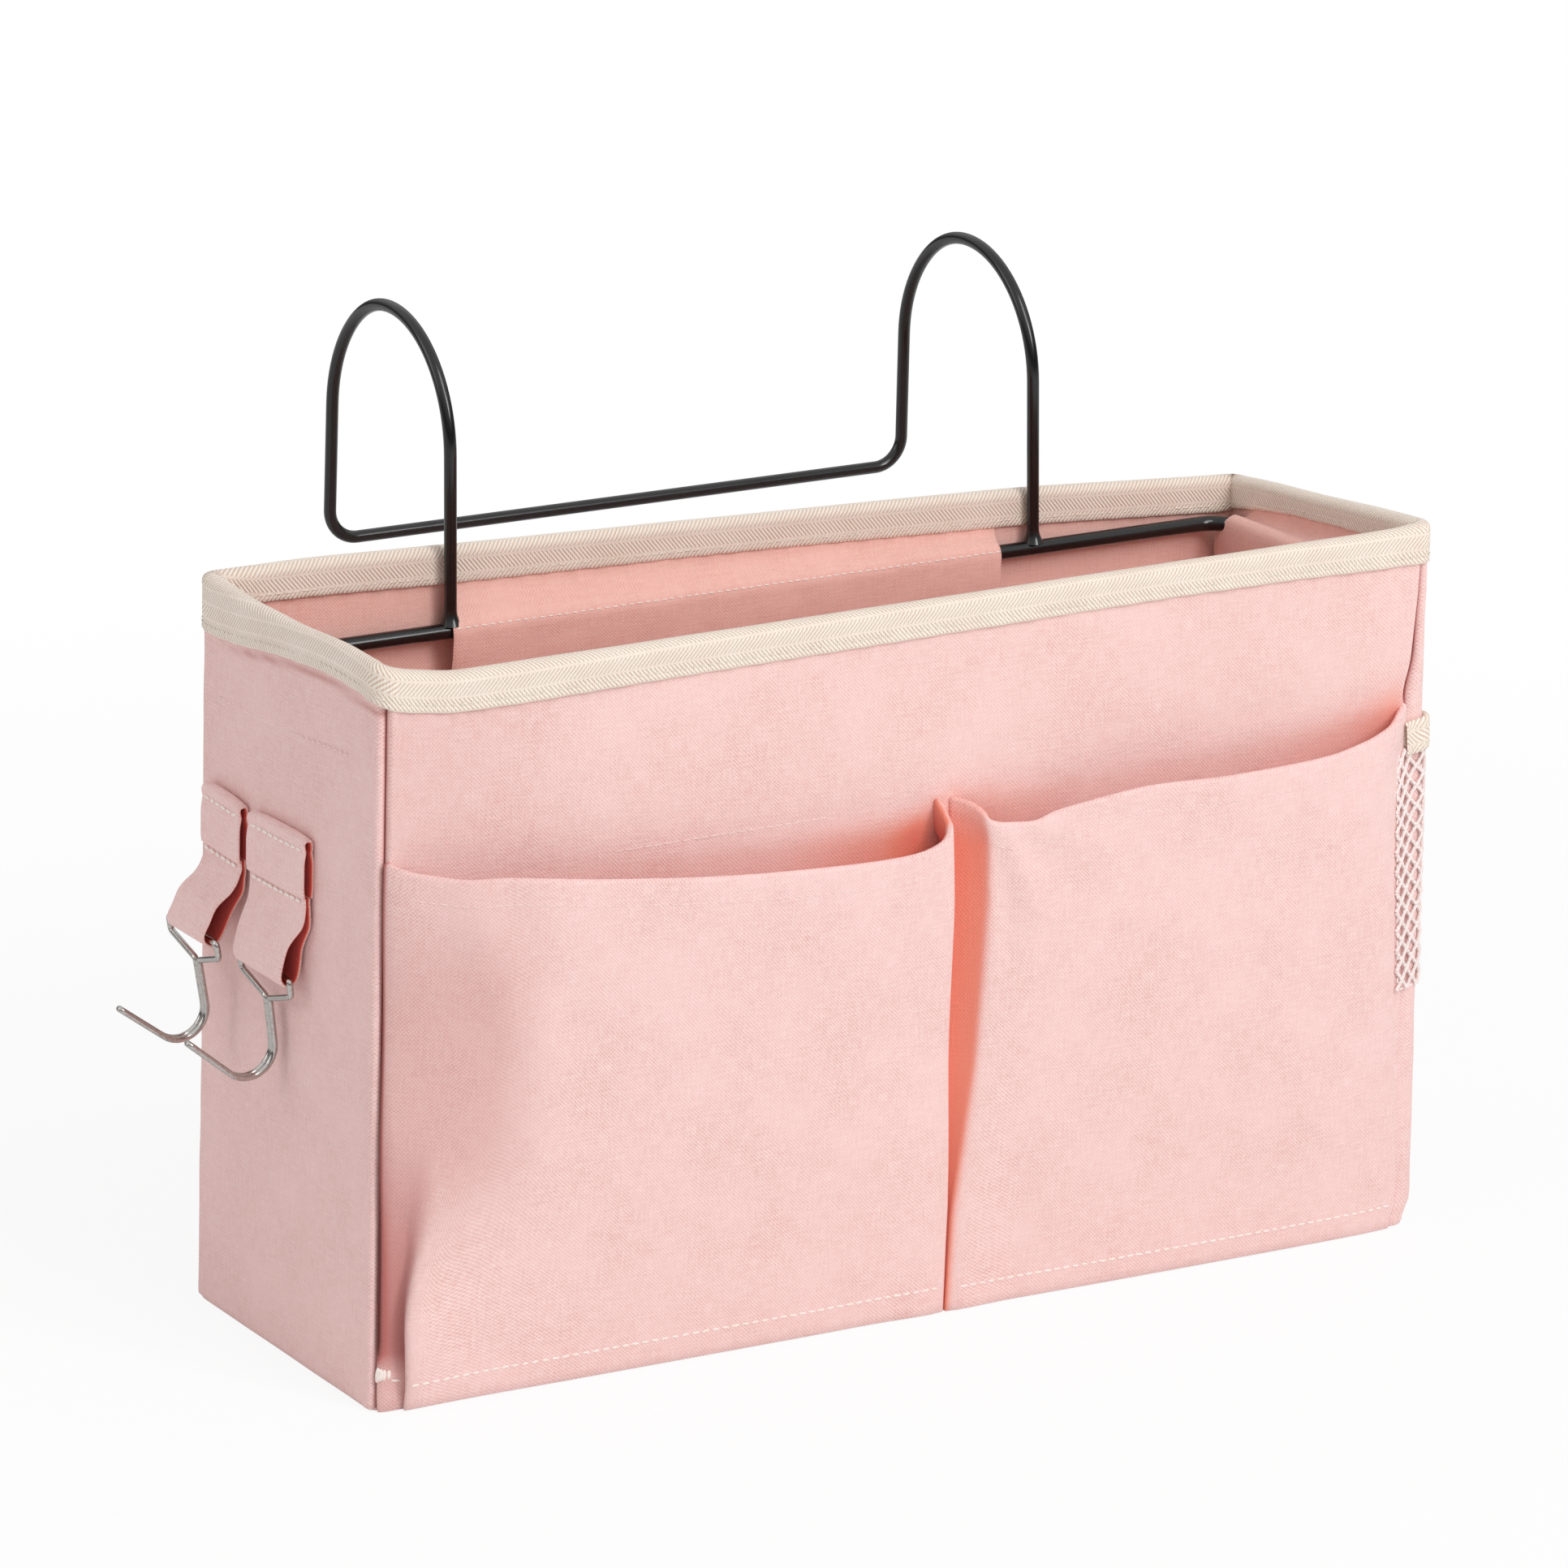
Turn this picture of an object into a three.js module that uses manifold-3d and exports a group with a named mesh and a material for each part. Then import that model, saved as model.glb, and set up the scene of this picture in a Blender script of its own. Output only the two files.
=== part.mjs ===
// Hanging pocket organizer: a stiffened canvas caddy on a bent-wire bed-rail hanger.
// Millimetres, +X to the right, +Y to the rear (towards the rail), +Z up.
// The origin is the centre of the base, on the surface that the caddy stands on.

import * as THREE from 'three';
import Module from 'manifold-3d';
import { mergeVertices } from 'three/addons/utils/BufferGeometryUtils.js';

const wasm = await Module();
wasm.setup();

// Bag body
const BAG_WIDTH = 380;
const BAG_DEPTH = 115;
const BAG_HEIGHT = 230;
const CORNER_RADIUS = 5;
const CORNER_STEPS = 3;

// Layers of the wall, from outside to inside
const CANVAS = 0.8;
const BOARD = 1.5;
const LINING = 0.6;
const SEAT = 0.3;
const SEAM = 0.15;

// Rim binding tape, folded over the top of the wall
const TAPE = 1.0;
const TAPE_HEIGHT = 13.6;
const TAPE_ROUND = 0.8;

// Wire hanger
const HANGER_WIRE = 4;
const RAIL_OPENING = 79;
const ARCH_RISE = 75;
const ARCH_SPACING = 215;
const BACK_ROD_DROP = 10;
const BACK_ROD_BEND = 10;
const WELD_RADIUS = 3.4;
const WELD_HEIGHT = 4.5;

// Wire ring inside the rim that carries the bag
const RING_WIRE = 5;
const RING_DROP = 20;
const RING_BEND = 10;

// Cloth facings that hold the ring against the wall
const FACING = 0.6;
const FACING_DROP = 46;
const FACING_TURN = 55;
const SLEEVE_LENGTH = 200;
const SLEEVE_LEG_GAP = 4;
const SLEEVE_DROP = 52;

// Front pockets
const POCKET_CANVAS = 0.9;
const POCKET_SPLIT = 8;
const POCKET_HEM = 0.4;
const POCKET_MOUTH = 165;
const POCKET_SAG = 6;
const POCKET_LIFT = 6;
const POCKET_BULGE = 19;
const POCKET_FOOT_BULGE = 1.6;
const POCKET_FULLNESS = 0.85;
const POCKET_SOFT_TURN = 38;
const POCKET_TIGHT_TURN = 9;
const POCKET_FOLD_GAP = 1.2;
const PLEAT_WIDTH = 10;

// Net pocket on the right side, from the front corner round to the rear one
const NET_STRAND = 0.9;
const NET_THICKNESS = 0.7;
const NET_FOOT = 76;
const NET_TOP = 171;
const NET_BULGE = 7.5;
const NET_START = 0.5;
const NET_COLUMNS = 20;
const NET_ROWS = 20;
const NET_CORNER_STEPS = 4;
const NET_TAPE_HEIGHT = 13.6;

// Key straps on the left side
const STRAP_WIDTH = 30;
const STRAP_CANVAS = 0.9;
const STRAP_STACK = 3.4;
const STRAP_TOP = 168;
const STRAP_STITCH = 147;
const STRAP_LOOP = 21.5;
const LOOP_BOTTOM_RADIUS = 3.3;
const LOOP_OPENS = 5;
const LOOP_OPENS_RADIUS = 0.5;
const FRONT_STRAP_PLACE = 2.5;
const REAR_STRAP_PLACE = 38.5;
const FRONT_STRAP_SWING = 12;
const REAR_STRAP_SWING = 30;

// Key hooks, each one wire bent double
const HOOK_WIRE = 2;
const HOOK_PAIR_GAP = 0.3;
const EYE_SIDE = 5;
const EYE_DROP = 10;
const EYE_BEND = 1.5;
const EYE_CLEARANCE = 0.6;
const EYE_JOINT_GAP = 0.6;
const HOOK_STEM = 14.4;
const HOOK_BEND = 9;
const HOOK_TIP_LENGTH = 18;
const HOOK_TIP_RISE = 46;
const FRONT_HOOK_LEAN = 7;
const REAR_HOOK_LEAN = 10;

// Faceting
const WIRE_SIDES = 12;
const FINE_WIRE_SIDES = 8;
const ARC_STEP = 18;

// Worked out from the sizes above
const WALL = CANVAS + SEAT + BOARD + SEAT + LINING;
const HALF_WIDTH = BAG_WIDTH / 2;
const HALF_DEPTH = BAG_DEPTH / 2;
const WALL_TOP = BAG_HEIGHT - TAPE - SEAT;
const ARCH_TOP = BAG_HEIGHT + ARCH_RISE;
const BACK_ROD_LEVEL = BAG_HEIGHT - BACK_ROD_DROP;
const RING_LEVEL = BAG_HEIGHT - RING_DROP;
const FACING_FOOT = BAG_HEIGHT - FACING_DROP;
const SLEEVE_FOOT = BAG_HEIGHT - SLEEVE_DROP;
const BOARD_INSET = CANVAS + SEAT;
const LINING_INSET = BOARD_INSET + BOARD + SEAT;
const RING_INSET = WALL + SEAT + TAPE + SEAT + RING_WIRE / 2;
const RING_OFFSET = RING_INSET - WALL;
const FRONT_LEG_Y = HALF_DEPTH - RING_INSET;
const BACK_LEG_Y = FRONT_LEG_Y + RAIL_OPENING;
const LEG_FOOT = RING_LEVEL + RING_WIRE / 2 + SEAT;
const radians = THREE.MathUtils.degToRad;

const canvasPink = new THREE.MeshStandardMaterial({ color: 0xf3c4be, roughness: 0.9, metalness: 0 });
const liningPink = new THREE.MeshStandardMaterial({ color: 0xe2978c, roughness: 0.9, metalness: 0 });
const tapeCream = new THREE.MeshStandardMaterial({ color: 0xf1e6d6, roughness: 0.9, metalness: 0 });
const boardGrey = new THREE.MeshStandardMaterial({ color: 0xb9a98f, roughness: 0.95, metalness: 0 });
const netWhite = new THREE.MeshStandardMaterial({ color: 0xf6f4f1, roughness: 0.7, metalness: 0 });
const wireBlack = new THREE.MeshStandardMaterial({ color: 0x121113, roughness: 0.25, metalness: 0.3 });
const hookChrome = new THREE.MeshStandardMaterial({ color: 0xc9c7c4, roughness: 0.12, metalness: 1 });

const organizer = new THREE.Group();

function add(name, geometry, material, parent = organizer) {
  const mesh = new THREE.Mesh(geometry, material);
  mesh.name = name;
  parent.add(mesh);
  return mesh;
}

// Geometry helpers

function signedVolume(points, triangles) {
  let volume = 0;
  for (const [a, b, c] of triangles) {
    volume += points[a].dot(new THREE.Vector3().crossVectors(points[b], points[c])) / 6;
  }
  return volume;
}

function solidFrom(points, triangles) {
  const outward = signedVolume(points, triangles) > 0;
  const index = triangles.flatMap(([a, b, c]) => (outward ? [a, b, c] : [a, c, b]));
  const geometry = new THREE.BufferGeometry().setFromPoints(points);
  geometry.setIndex(index);
  geometry.computeVertexNormals();
  return geometry;
}

// Closes the space between two skins that share one triangle list: every open edge gets a wall.
function closeSkins(outer, inner, triangles) {
  const count = outer.length;
  const edges = new Map();
  for (const [a, b, c] of triangles) {
    for (const [p, q] of [[a, b], [b, c], [c, a]]) {
      const twin = `${q},${p}`;
      if (edges.has(twin)) edges.delete(twin);
      else edges.set(`${p},${q}`, [p, q]);
    }
  }
  const faces = [...triangles];
  for (const [a, b, c] of triangles) faces.push([c + count, b + count, a + count]);
  for (const [p, q] of edges.values()) {
    faces.push([q, p, p + count]);
    faces.push([q, p + count, q + count]);
  }
  return solidFrom([...outer, ...inner], faces);
}

// A grid of points thickened evenly to both sides, mitred where it creases.
function sheet(columns, rows, pointAt, thickness, closed = false) {
  const width = closed ? columns : columns + 1;
  const at = (i, j) => ((i + width) % width) * (rows + 1) + j;
  const points = [];
  for (let i = 0; i < width; i += 1) {
    for (let j = 0; j <= rows; j += 1) points.push(pointAt(i, j));
  }
  const triangles = [];
  const around = points.map(() => []);
  for (let i = 0; i < columns; i += 1) {
    for (let j = 0; j < rows; j += 1) {
      const corners = [at(i, j), at(i + 1, j), at(i + 1, j + 1), at(i, j + 1)];
      const [a, b, c, d] = corners;
      const across = new THREE.Vector3().subVectors(points[c], points[a]);
      const other = new THREE.Vector3().subVectors(points[d], points[b]);
      const normal = across.cross(other).normalize();
      corners.forEach((corner) => around[corner].push(normal));
      triangles.push([a, b, c], [a, c, d]);
    }
  }
  const offsets = around.map((normals) => {
    const mean = normals.reduce((sum, n) => sum.add(n), new THREE.Vector3()).normalize();
    const spread = normals.reduce((sum, n) => sum + n.dot(mean), 0) / normals.length;
    return mean.multiplyScalar(thickness / 2 / spread);
  });
  const outer = points.map((p, i) => p.clone().add(offsets[i]));
  const inner = points.map((p, i) => p.clone().sub(offsets[i]));
  return closeSkins(outer, inner, triangles);
}

// A wire route through corner points, with an arc of its own radius at each inner corner.
class BentWire extends THREE.Curve {
  constructor(corners, stepDegrees = ARC_STEP) {
    super();
    this.stations = [];
    const last = corners.length - 1;
    const heading = (a, b) => new THREE.Vector3().subVectors(corners[b].at, corners[a].at).normalize();
    this.place(corners[0].at, heading(0, 1));
    for (let i = 1; i < last; i += 1) {
      this.bend(corners[i], heading(i - 1, i), heading(i, i + 1), radians(stepDegrees));
    }
    this.place(corners[last].at, heading(last - 1, last));
  }

  place(point, tangent) {
    const previous = this.stations[this.stations.length - 1];
    if (previous && previous.point.distanceTo(point) < 1e-4) return;
    this.stations.push({ point: point.clone(), tangent: tangent.clone().normalize() });
  }

  bend({ at, radius }, arriving, leaving, step) {
    const turn = arriving.angleTo(leaving);
    const reach = radius * Math.tan(turn / 2);
    const start = at.clone().addScaledVector(arriving, -reach);
    const towards = leaving.clone().addScaledVector(arriving, -leaving.dot(arriving)).normalize();
    const steps = Math.max(2, Math.ceil(turn / step));
    for (let k = 0; k <= steps; k += 1) {
      const angle = (turn * k) / steps;
      const point = start.clone().addScaledVector(arriving, radius * Math.sin(angle));
      point.addScaledVector(towards, radius * (1 - Math.cos(angle)));
      const tangent = arriving.clone().multiplyScalar(Math.cos(angle));
      tangent.addScaledVector(towards, Math.sin(angle));
      this.place(point, tangent);
    }
  }

  station(u) {
    return this.stations[Math.round(u * (this.stations.length - 1))];
  }

  getPointAt(u) {
    return this.station(u).point.clone();
  }

  getTangentAt(u) {
    return this.station(u).tangent.clone();
  }
}

function roundSection(radius, sides) {
  const outline = [];
  for (let k = 0; k < sides; k += 1) {
    const angle = ((k + 0.5) / sides) * 2 * Math.PI;
    outline.push(new THREE.Vector2(radius * Math.cos(angle), radius * Math.sin(angle)));
  }
  return new THREE.Shape(outline);
}

function wire(route, diameter, sides) {
  const steps = route.stations.length - 1;
  const options = { steps, bevelEnabled: false, extrudePath: route };
  return new THREE.ExtrudeGeometry(roundSection(diameter / 2, sides), options);
}

function toManifold(geometry) {
  const bare = geometry.clone();
  bare.deleteAttribute('normal');
  bare.deleteAttribute('uv');
  const merged = mergeVertices(bare, 1e-4);
  const vertProperties = new Float32Array(merged.attributes.position.array);
  const triVerts = new Uint32Array(merged.index.array);
  return new wasm.Manifold(new wasm.Mesh({ numProp: 3, vertProperties, triVerts }));
}

function fromManifold(solid) {
  const mesh = solid.getMesh();
  const geometry = new THREE.BufferGeometry();
  geometry.setAttribute('position', new THREE.BufferAttribute(mesh.vertProperties, 3));
  geometry.setIndex(new THREE.BufferAttribute(mesh.triVerts, 1));
  geometry.computeVertexNormals();
  return geometry;
}

// The bag's plan: a rounded rectangle, whose sides are walked anticlockwise from the front.
const SIDES = {
  front: { turn: 0, half: HALF_WIDTH, away: HALF_DEPTH },
  right: { turn: 90, half: HALF_DEPTH, away: HALF_WIDTH },
  back: { turn: 180, half: HALF_WIDTH, away: HALF_DEPTH },
  left: { turn: 270, half: HALF_DEPTH, away: HALF_WIDTH },
};

// A place on one side: along it from its middle, inset from the outer face, and up.
function onSide(side, along, inset, z) {
  const point = new THREE.Vector3(along, -(side.away - inset), z);
  return point.applyAxisAngle(new THREE.Vector3(0, 0, 1), radians(side.turn));
}

// Stations along one side of the plan, with half of the arc at each corner.
function sidePlan(side, inset, endGap) {
  const radius = CORNER_RADIUS - inset;
  const straight = side.half - CORNER_RADIUS;
  const limit = Math.PI / 4 - endGap / radius;
  const plan = [];
  for (let k = CORNER_STEPS; k >= 1; k -= 1) {
    const angle = (limit * k) / CORNER_STEPS;
    plan.push([-straight - radius * Math.sin(angle), inset + radius * (1 - Math.cos(angle))]);
  }
  plan.push([-straight, inset], [straight, inset]);
  for (let k = 1; k <= CORNER_STEPS; k += 1) {
    const angle = (limit * k) / CORNER_STEPS;
    plan.push([straight + radius * Math.sin(angle), inset + radius * (1 - Math.cos(angle))]);
  }
  return plan;
}

function clothWall(side, inset, thickness, foot, top) {
  const plan = sidePlan(side, inset + thickness / 2, SEAM);
  const pointAt = (i, j) => onSide(side, plan[i][0], plan[i][1], j === 0 ? foot : top);
  return sheet(plan.length - 1, 1, pointAt, thickness);
}

function boardWall(side, foot, top) {
  const reach = side.half - CORNER_RADIUS;
  const middle = BOARD_INSET + BOARD / 2;
  const pointAt = (i, j) => onSide(side, i === 0 ? -reach : reach, middle, j === 0 ? foot : top);
  return sheet(1, 1, pointAt, BOARD);
}

function basePlate(inset, thickness, foot) {
  const radius = Math.max(CORNER_RADIUS - inset, 1);
  const x = HALF_WIDTH - inset;
  const y = HALF_DEPTH - inset;
  const shape = new THREE.Shape();
  shape.absarc(x - radius, y - radius, radius, 0, Math.PI / 2);
  shape.absarc(radius - x, y - radius, radius, Math.PI / 2, Math.PI);
  shape.absarc(radius - x, radius - y, radius, Math.PI, Math.PI * 1.5);
  shape.absarc(x - radius, radius - y, radius, Math.PI * 1.5, Math.PI * 2);
  const options = { depth: thickness, bevelEnabled: false, curveSegments: CORNER_STEPS };
  return new THREE.ExtrudeGeometry(shape, options).translate(0, 0, foot);
}

// Bag: five canvas panels, five boards and five lining panels

const boardFoot = CANVAS + SEAT;
const liningFoot = boardFoot + BOARD + SEAT;
for (const [name, side] of Object.entries(SIDES)) {
  const panel = name === 'left' || name === 'right' ? `${name}_side_panel` : `${name}_panel`;
  add(panel, clothWall(side, 0, CANVAS, 0, WALL_TOP), canvasPink);
  add(`${name}_board`, boardWall(side, boardFoot, WALL_TOP), boardGrey);
  add(`${name}_lining`, clothWall(side, LINING_INSET, LINING, liningFoot, WALL_TOP), liningPink);
}
add('base_panel', basePlate(CANVAS + SEAT, CANVAS, 0), canvasPink);
add('base_board', basePlate(LINING_INSET, BOARD, boardFoot), boardGrey);
add('base_lining', basePlate(WALL + SEAT, LINING, liningFoot), liningPink);

// Rim binding: one strip of tape folded over the wall, all round the mouth

function rimBinding() {
  const outerFace = -SEAT - TAPE / 2;
  const innerFace = WALL + SEAT + TAPE / 2;
  const foot = BAG_HEIGHT - TAPE_HEIGHT;
  const crown = BAG_HEIGHT - TAPE / 2;
  const section = [
    [outerFace, foot],
    [outerFace, crown - TAPE_ROUND],
    [outerFace + TAPE_ROUND, crown],
    [innerFace - TAPE_ROUND, crown],
    [innerFace, crown - TAPE_ROUND],
    [innerFace, foot],
  ];
  const around = [];
  for (const side of Object.values(SIDES)) {
    const plan = sidePlan(side, 0, 0);
    for (let i = 0; i < plan.length - 1; i += 1) around.push({ side, station: plan[i] });
  }
  const pointAt = (i, j) => {
    const { side, station: [along, depth] } = around[i % around.length];
    const straight = side.half - CORNER_RADIUS;
    const past = Math.abs(along) - straight;
    const angle = past > 0 ? Math.sign(along) * Math.atan2(past, CORNER_RADIUS - depth) : 0;
    const [inset, z] = section[j];
    return onSide(side, along - inset * Math.sin(angle), depth + inset * Math.cos(angle), z);
  };
  return sheet(around.length, section.length - 1, pointAt, TAPE, true);
}
add('rim_binding', rimBinding(), tapeCream);

// Carrier ring: a closed rectangle of wire inside the rim

function carrierRing() {
  const x = HALF_WIDTH - RING_INSET;
  const y = HALF_DEPTH - RING_INSET;
  const stations = [];
  const corners = [[x, -y, -90], [x, y, 0], [-x, y, 90], [-x, -y, 180]];
  for (const [cornerX, cornerY, start] of corners) {
    const centreX = cornerX - Math.sign(cornerX) * RING_BEND;
    const centreY = cornerY - Math.sign(cornerY) * RING_BEND;
    const steps = Math.ceil(90 / ARC_STEP);
    for (let k = 0; k <= steps; k += 1) {
      stations.push({ centreX, centreY, angle: radians(start + (90 * k) / steps) });
    }
  }
  const points = [];
  const triangles = [];
  const count = stations.length;
  const sides = WIRE_SIDES;
  for (const { centreX, centreY, angle } of stations) {
    for (let k = 0; k < sides; k += 1) {
      const around = ((k + 0.5) / sides) * 2 * Math.PI;
      const reach = RING_BEND + (RING_WIRE / 2) * Math.cos(around);
      const z = RING_LEVEL + (RING_WIRE / 2) * Math.sin(around);
      points.push(new THREE.Vector3(centreX + reach * Math.cos(angle), centreY + reach * Math.sin(angle), z));
    }
  }
  for (let i = 0; i < count; i += 1) {
    for (let k = 0; k < sides; k += 1) {
      const a = i * sides + k;
      const b = i * sides + ((k + 1) % sides);
      const c = ((i + 1) % count) * sides + ((k + 1) % sides);
      const d = ((i + 1) % count) * sides + k;
      triangles.push([a, b, c], [a, c, d]);
    }
  }
  return solidFrom(points, triangles);
}
add('carrier_ring', carrierRing(), wireBlack);

// Hanger: one wire bent into two arches joined by the back rod, with a weld bead at each foot

function hangerWire() {
  const legX = ARCH_SPACING / 2;
  const arch = RAIL_OPENING / 2;
  const corner = (x, y, z, radius = 0) => ({ at: new THREE.Vector3(x, y, z), radius });
  const half = (sign) => [
    corner(sign * legX, FRONT_LEG_Y, LEG_FOOT),
    corner(sign * legX, FRONT_LEG_Y, ARCH_TOP, arch),
    corner(sign * legX, BACK_LEG_Y, ARCH_TOP, arch),
    corner(sign * legX, BACK_LEG_Y, BACK_ROD_LEVEL, BACK_ROD_BEND),
  ];
  const route = new BentWire([...half(-1), ...half(1).reverse()]);
  let solid = toManifold(wire(route, HANGER_WIRE, WIRE_SIDES));
  const bead = [
    new THREE.Vector2(0, 0),
    new THREE.Vector2(WELD_RADIUS, 0),
    new THREE.Vector2(WELD_RADIUS * 0.8, WELD_HEIGHT * 0.35),
    new THREE.Vector2(HANGER_WIRE * 0.55, WELD_HEIGHT * 0.8),
    new THREE.Vector2(HANGER_WIRE * 0.45, WELD_HEIGHT),
    new THREE.Vector2(0, WELD_HEIGHT),
  ];
  for (const sign of [-1, 1]) {
    const fillet = new THREE.LatheGeometry(bead, WIRE_SIDES).rotateX(Math.PI / 2);
    fillet.translate(sign * legX, FRONT_LEG_Y, LEG_FOOT);
    solid = solid.add(toManifold(fillet));
  }
  return fromManifold(solid);
}
add('hanger_wire', hangerWire(), wireBlack);

// Facings: a strip of cloth that leaves the wall, goes round the ring and returns to the wall

function facingSection(foot) {
  const flat = SEAT + FACING / 2;
  const clear = RING_WIRE / 2 + SEAT + FACING / 2;
  const top = BAG_HEIGHT - TAPE_HEIGHT - SEAT;
  const section = [[flat, top]];
  for (let k = -2; k <= 2; k += 1) {
    const angle = radians(-(FACING_TURN * k) / 2);
    section.push([RING_OFFSET + clear * Math.cos(angle), RING_LEVEL + clear * Math.sin(angle)]);
  }
  section.push([flat, 2 * RING_LEVEL - top - clear], [flat, foot]);
  return section;
}

function facing(side, from, to, foot) {
  const section = facingSection(foot);
  const pointAt = (i, j) => onSide(side, i === 0 ? from : to, WALL + section[j][0], section[j][1]);
  return sheet(1, section.length - 1, pointAt, FACING);
}

const bendEnd = RING_INSET + RING_BEND;
for (const name of ['front', 'left', 'right']) {
  const side = SIDES[name];
  const reach = side.half - bendEnd;
  add(`${name}_facing`, facing(side, -reach, reach, FACING_FOOT), liningPink);
}
const sleeveTo = ARCH_SPACING / 2 - SLEEVE_LEG_GAP;
const sleeveFrom = sleeveTo - SLEEVE_LENGTH;
add('back_sleeve', facing(SIDES.back, sleeveFrom, sleeveTo, SLEEVE_FOOT), liningPink);

// Front pockets: bellows sheets that leave the panel softly at the bag's corner
// and fold back tightly where the two pockets meet

const POCKET_COLUMNS = { soft: 8, flat: 9, tight: 5 };
const POCKET_ROWS = 8;

function pocket(outerX, innerX) {
  const towards = Math.sign(innerX - outerX);
  const width = Math.abs(innerX - outerX);
  const flatEnd = width - POCKET_TIGHT_TURN;
  const { soft, flat, tight } = POCKET_COLUMNS;
  // Distance along the mouth from the bag's corner, with stations closer together in the two turns
  const along = (i) => {
    if (i <= soft) return (POCKET_SOFT_TURN * i) / soft;
    if (i <= soft + flat) return POCKET_SOFT_TURN + ((flatEnd - POCKET_SOFT_TURN) * (i - soft)) / flat;
    return flatEnd + (POCKET_TIGHT_TURN * (i - soft - flat)) / tight;
  };
  const pointAt = (i, j) => {
    const s = along(i);
    const up = j / POCKET_ROWS;
    const pleat = PLEAT_WIDTH * (1 - up);
    const rise = THREE.MathUtils.smootherstep(s, pleat, POCKET_SOFT_TURN);
    const fall = Math.sqrt(1 - (Math.max(0, s - flatEnd) / POCKET_TIGHT_TURN) ** 2 || 0);
    const bulge = POCKET_FOOT_BULGE + (POCKET_BULGE - POCKET_FOOT_BULGE) * up ** POCKET_FULLNESS;
    const sag = POCKET_SAG * Math.sin((Math.PI * s) / width);
    const lift = POCKET_LIFT * (1 - THREE.MathUtils.smootherstep(s, 0, POCKET_SOFT_TURN));
    const mouth = POCKET_MOUTH - sag + lift;
    const y = -HALF_DEPTH - SEAT - POCKET_CANVAS / 2 - bulge * Math.min(rise, fall);
    return new THREE.Vector3(outerX + towards * s, y, POCKET_HEM + (mouth - POCKET_HEM) * up);
  };
  return sheet(soft + flat + tight, POCKET_ROWS, pointAt, POCKET_CANVAS);
}

const pocketEdge = HALF_WIDTH - CORNER_RADIUS;
add('left_pocket', pocket(-pocketEdge, POCKET_SPLIT - POCKET_FOLD_GAP / 2 - POCKET_CANVAS), canvasPink);
add('right_pocket', pocket(pocketEdge, POCKET_SPLIT + POCKET_FOLD_GAP / 2 + POCKET_CANVAS), canvasPink);

// Net pocket on the right side: a diamond net, sewn down on three edges, with a tape on its mouth.
// It starts at the front pocket's seam, goes round the corner and ends halfway round the rear corner.

const cornerArc = (CORNER_RADIUS * Math.PI) / 2;
const netFlat = [cornerArc - NET_START, cornerArc - NET_START + BAG_DEPTH - 2 * CORNER_RADIUS];
const netWidth = netFlat[1] + cornerArc / 2;
const netTapeFoot = NET_TOP - NET_TAPE_HEIGHT;
const netReach = NET_TOP - TAPE - SEAT;
const netHeight = netReach - NET_FOOT;

// How far the pocket stands off the panel, at a place across its width and up from its foot
function netBulge(across, z) {
  const side = Math.sin(Math.PI * THREE.MathUtils.clamp(across / netWidth, 0, 1)) ** 0.7;
  const up = THREE.MathUtils.clamp((z - NET_FOOT) / (NET_TOP - NET_FOOT), 0, 1);
  return NET_BULGE * side * Math.sin((Math.PI / 2) * up) ** 0.8;
}

function netPoint(across, z, layer) {
  const settled = THREE.MathUtils.smoothstep(z, NET_FOOT, netTapeFoot) * (TAPE + SEAT);
  const standOff = SEAT + NET_THICKNESS / 2 + settled + netBulge(across, z) + layer;
  const past = Math.min(0, across - netFlat[0]) + Math.max(0, across - netFlat[1]);
  const turn = past / CORNER_RADIUS;
  const straight = THREE.MathUtils.clamp(across, netFlat[0], netFlat[1]) - netFlat[0];
  const reach = CORNER_RADIUS + standOff;
  return new THREE.Vector3(
    HALF_WIDTH - CORNER_RADIUS + reach * Math.cos(turn),
    straight - HALF_DEPTH + CORNER_RADIUS + reach * Math.sin(turn),
    z,
  );
}

// Where the net bends round a corner: its cells are cut there, so that they follow the arc
const netBends = [];
for (let k = 1; k <= NET_CORNER_STEPS; k += 1) {
  netBends.push((netFlat[0] * k) / NET_CORNER_STEPS);
  if (k <= NET_CORNER_STEPS / 2) netBends.push(netFlat[1] + (cornerArc * (k - 1)) / NET_CORNER_STEPS);
}

// How far a flat point lies inside each edge of the net
const netEdges = [(p) => p.x, (p) => netWidth - p.x, (p) => p.y, (p) => netHeight - p.y];
const ON_EDGE = 1e-6;

function clipTo(depths, polygon) {
  let kept = polygon;
  for (const depth of depths) {
    const next = [];
    kept.forEach((p, i) => {
      const q = kept[(i + 1) % kept.length];
      const dp = depth(p);
      const dq = depth(q);
      const crosses = Math.sign(dp) !== Math.sign(dq) && Math.min(Math.abs(dp), Math.abs(dq)) > ON_EDGE;
      if (dp > -ON_EDGE) next.push(p);
      if (crosses) next.push(p.clone().lerp(q, dp / (dp - dq)));
    });
    kept = next;
  }
  return kept.length > 2 ? kept : [];
}

function cutAtBends(polygon) {
  let pieces = [polygon];
  for (const bend of netBends) {
    const sides = [(p) => bend - p.x, (p) => p.x - bend];
    pieces = pieces.flatMap((piece) => sides.map((side) => clipTo([side], piece)));
    pieces = pieces.filter((piece) => piece.length > 2);
  }
  return pieces;
}

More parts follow.
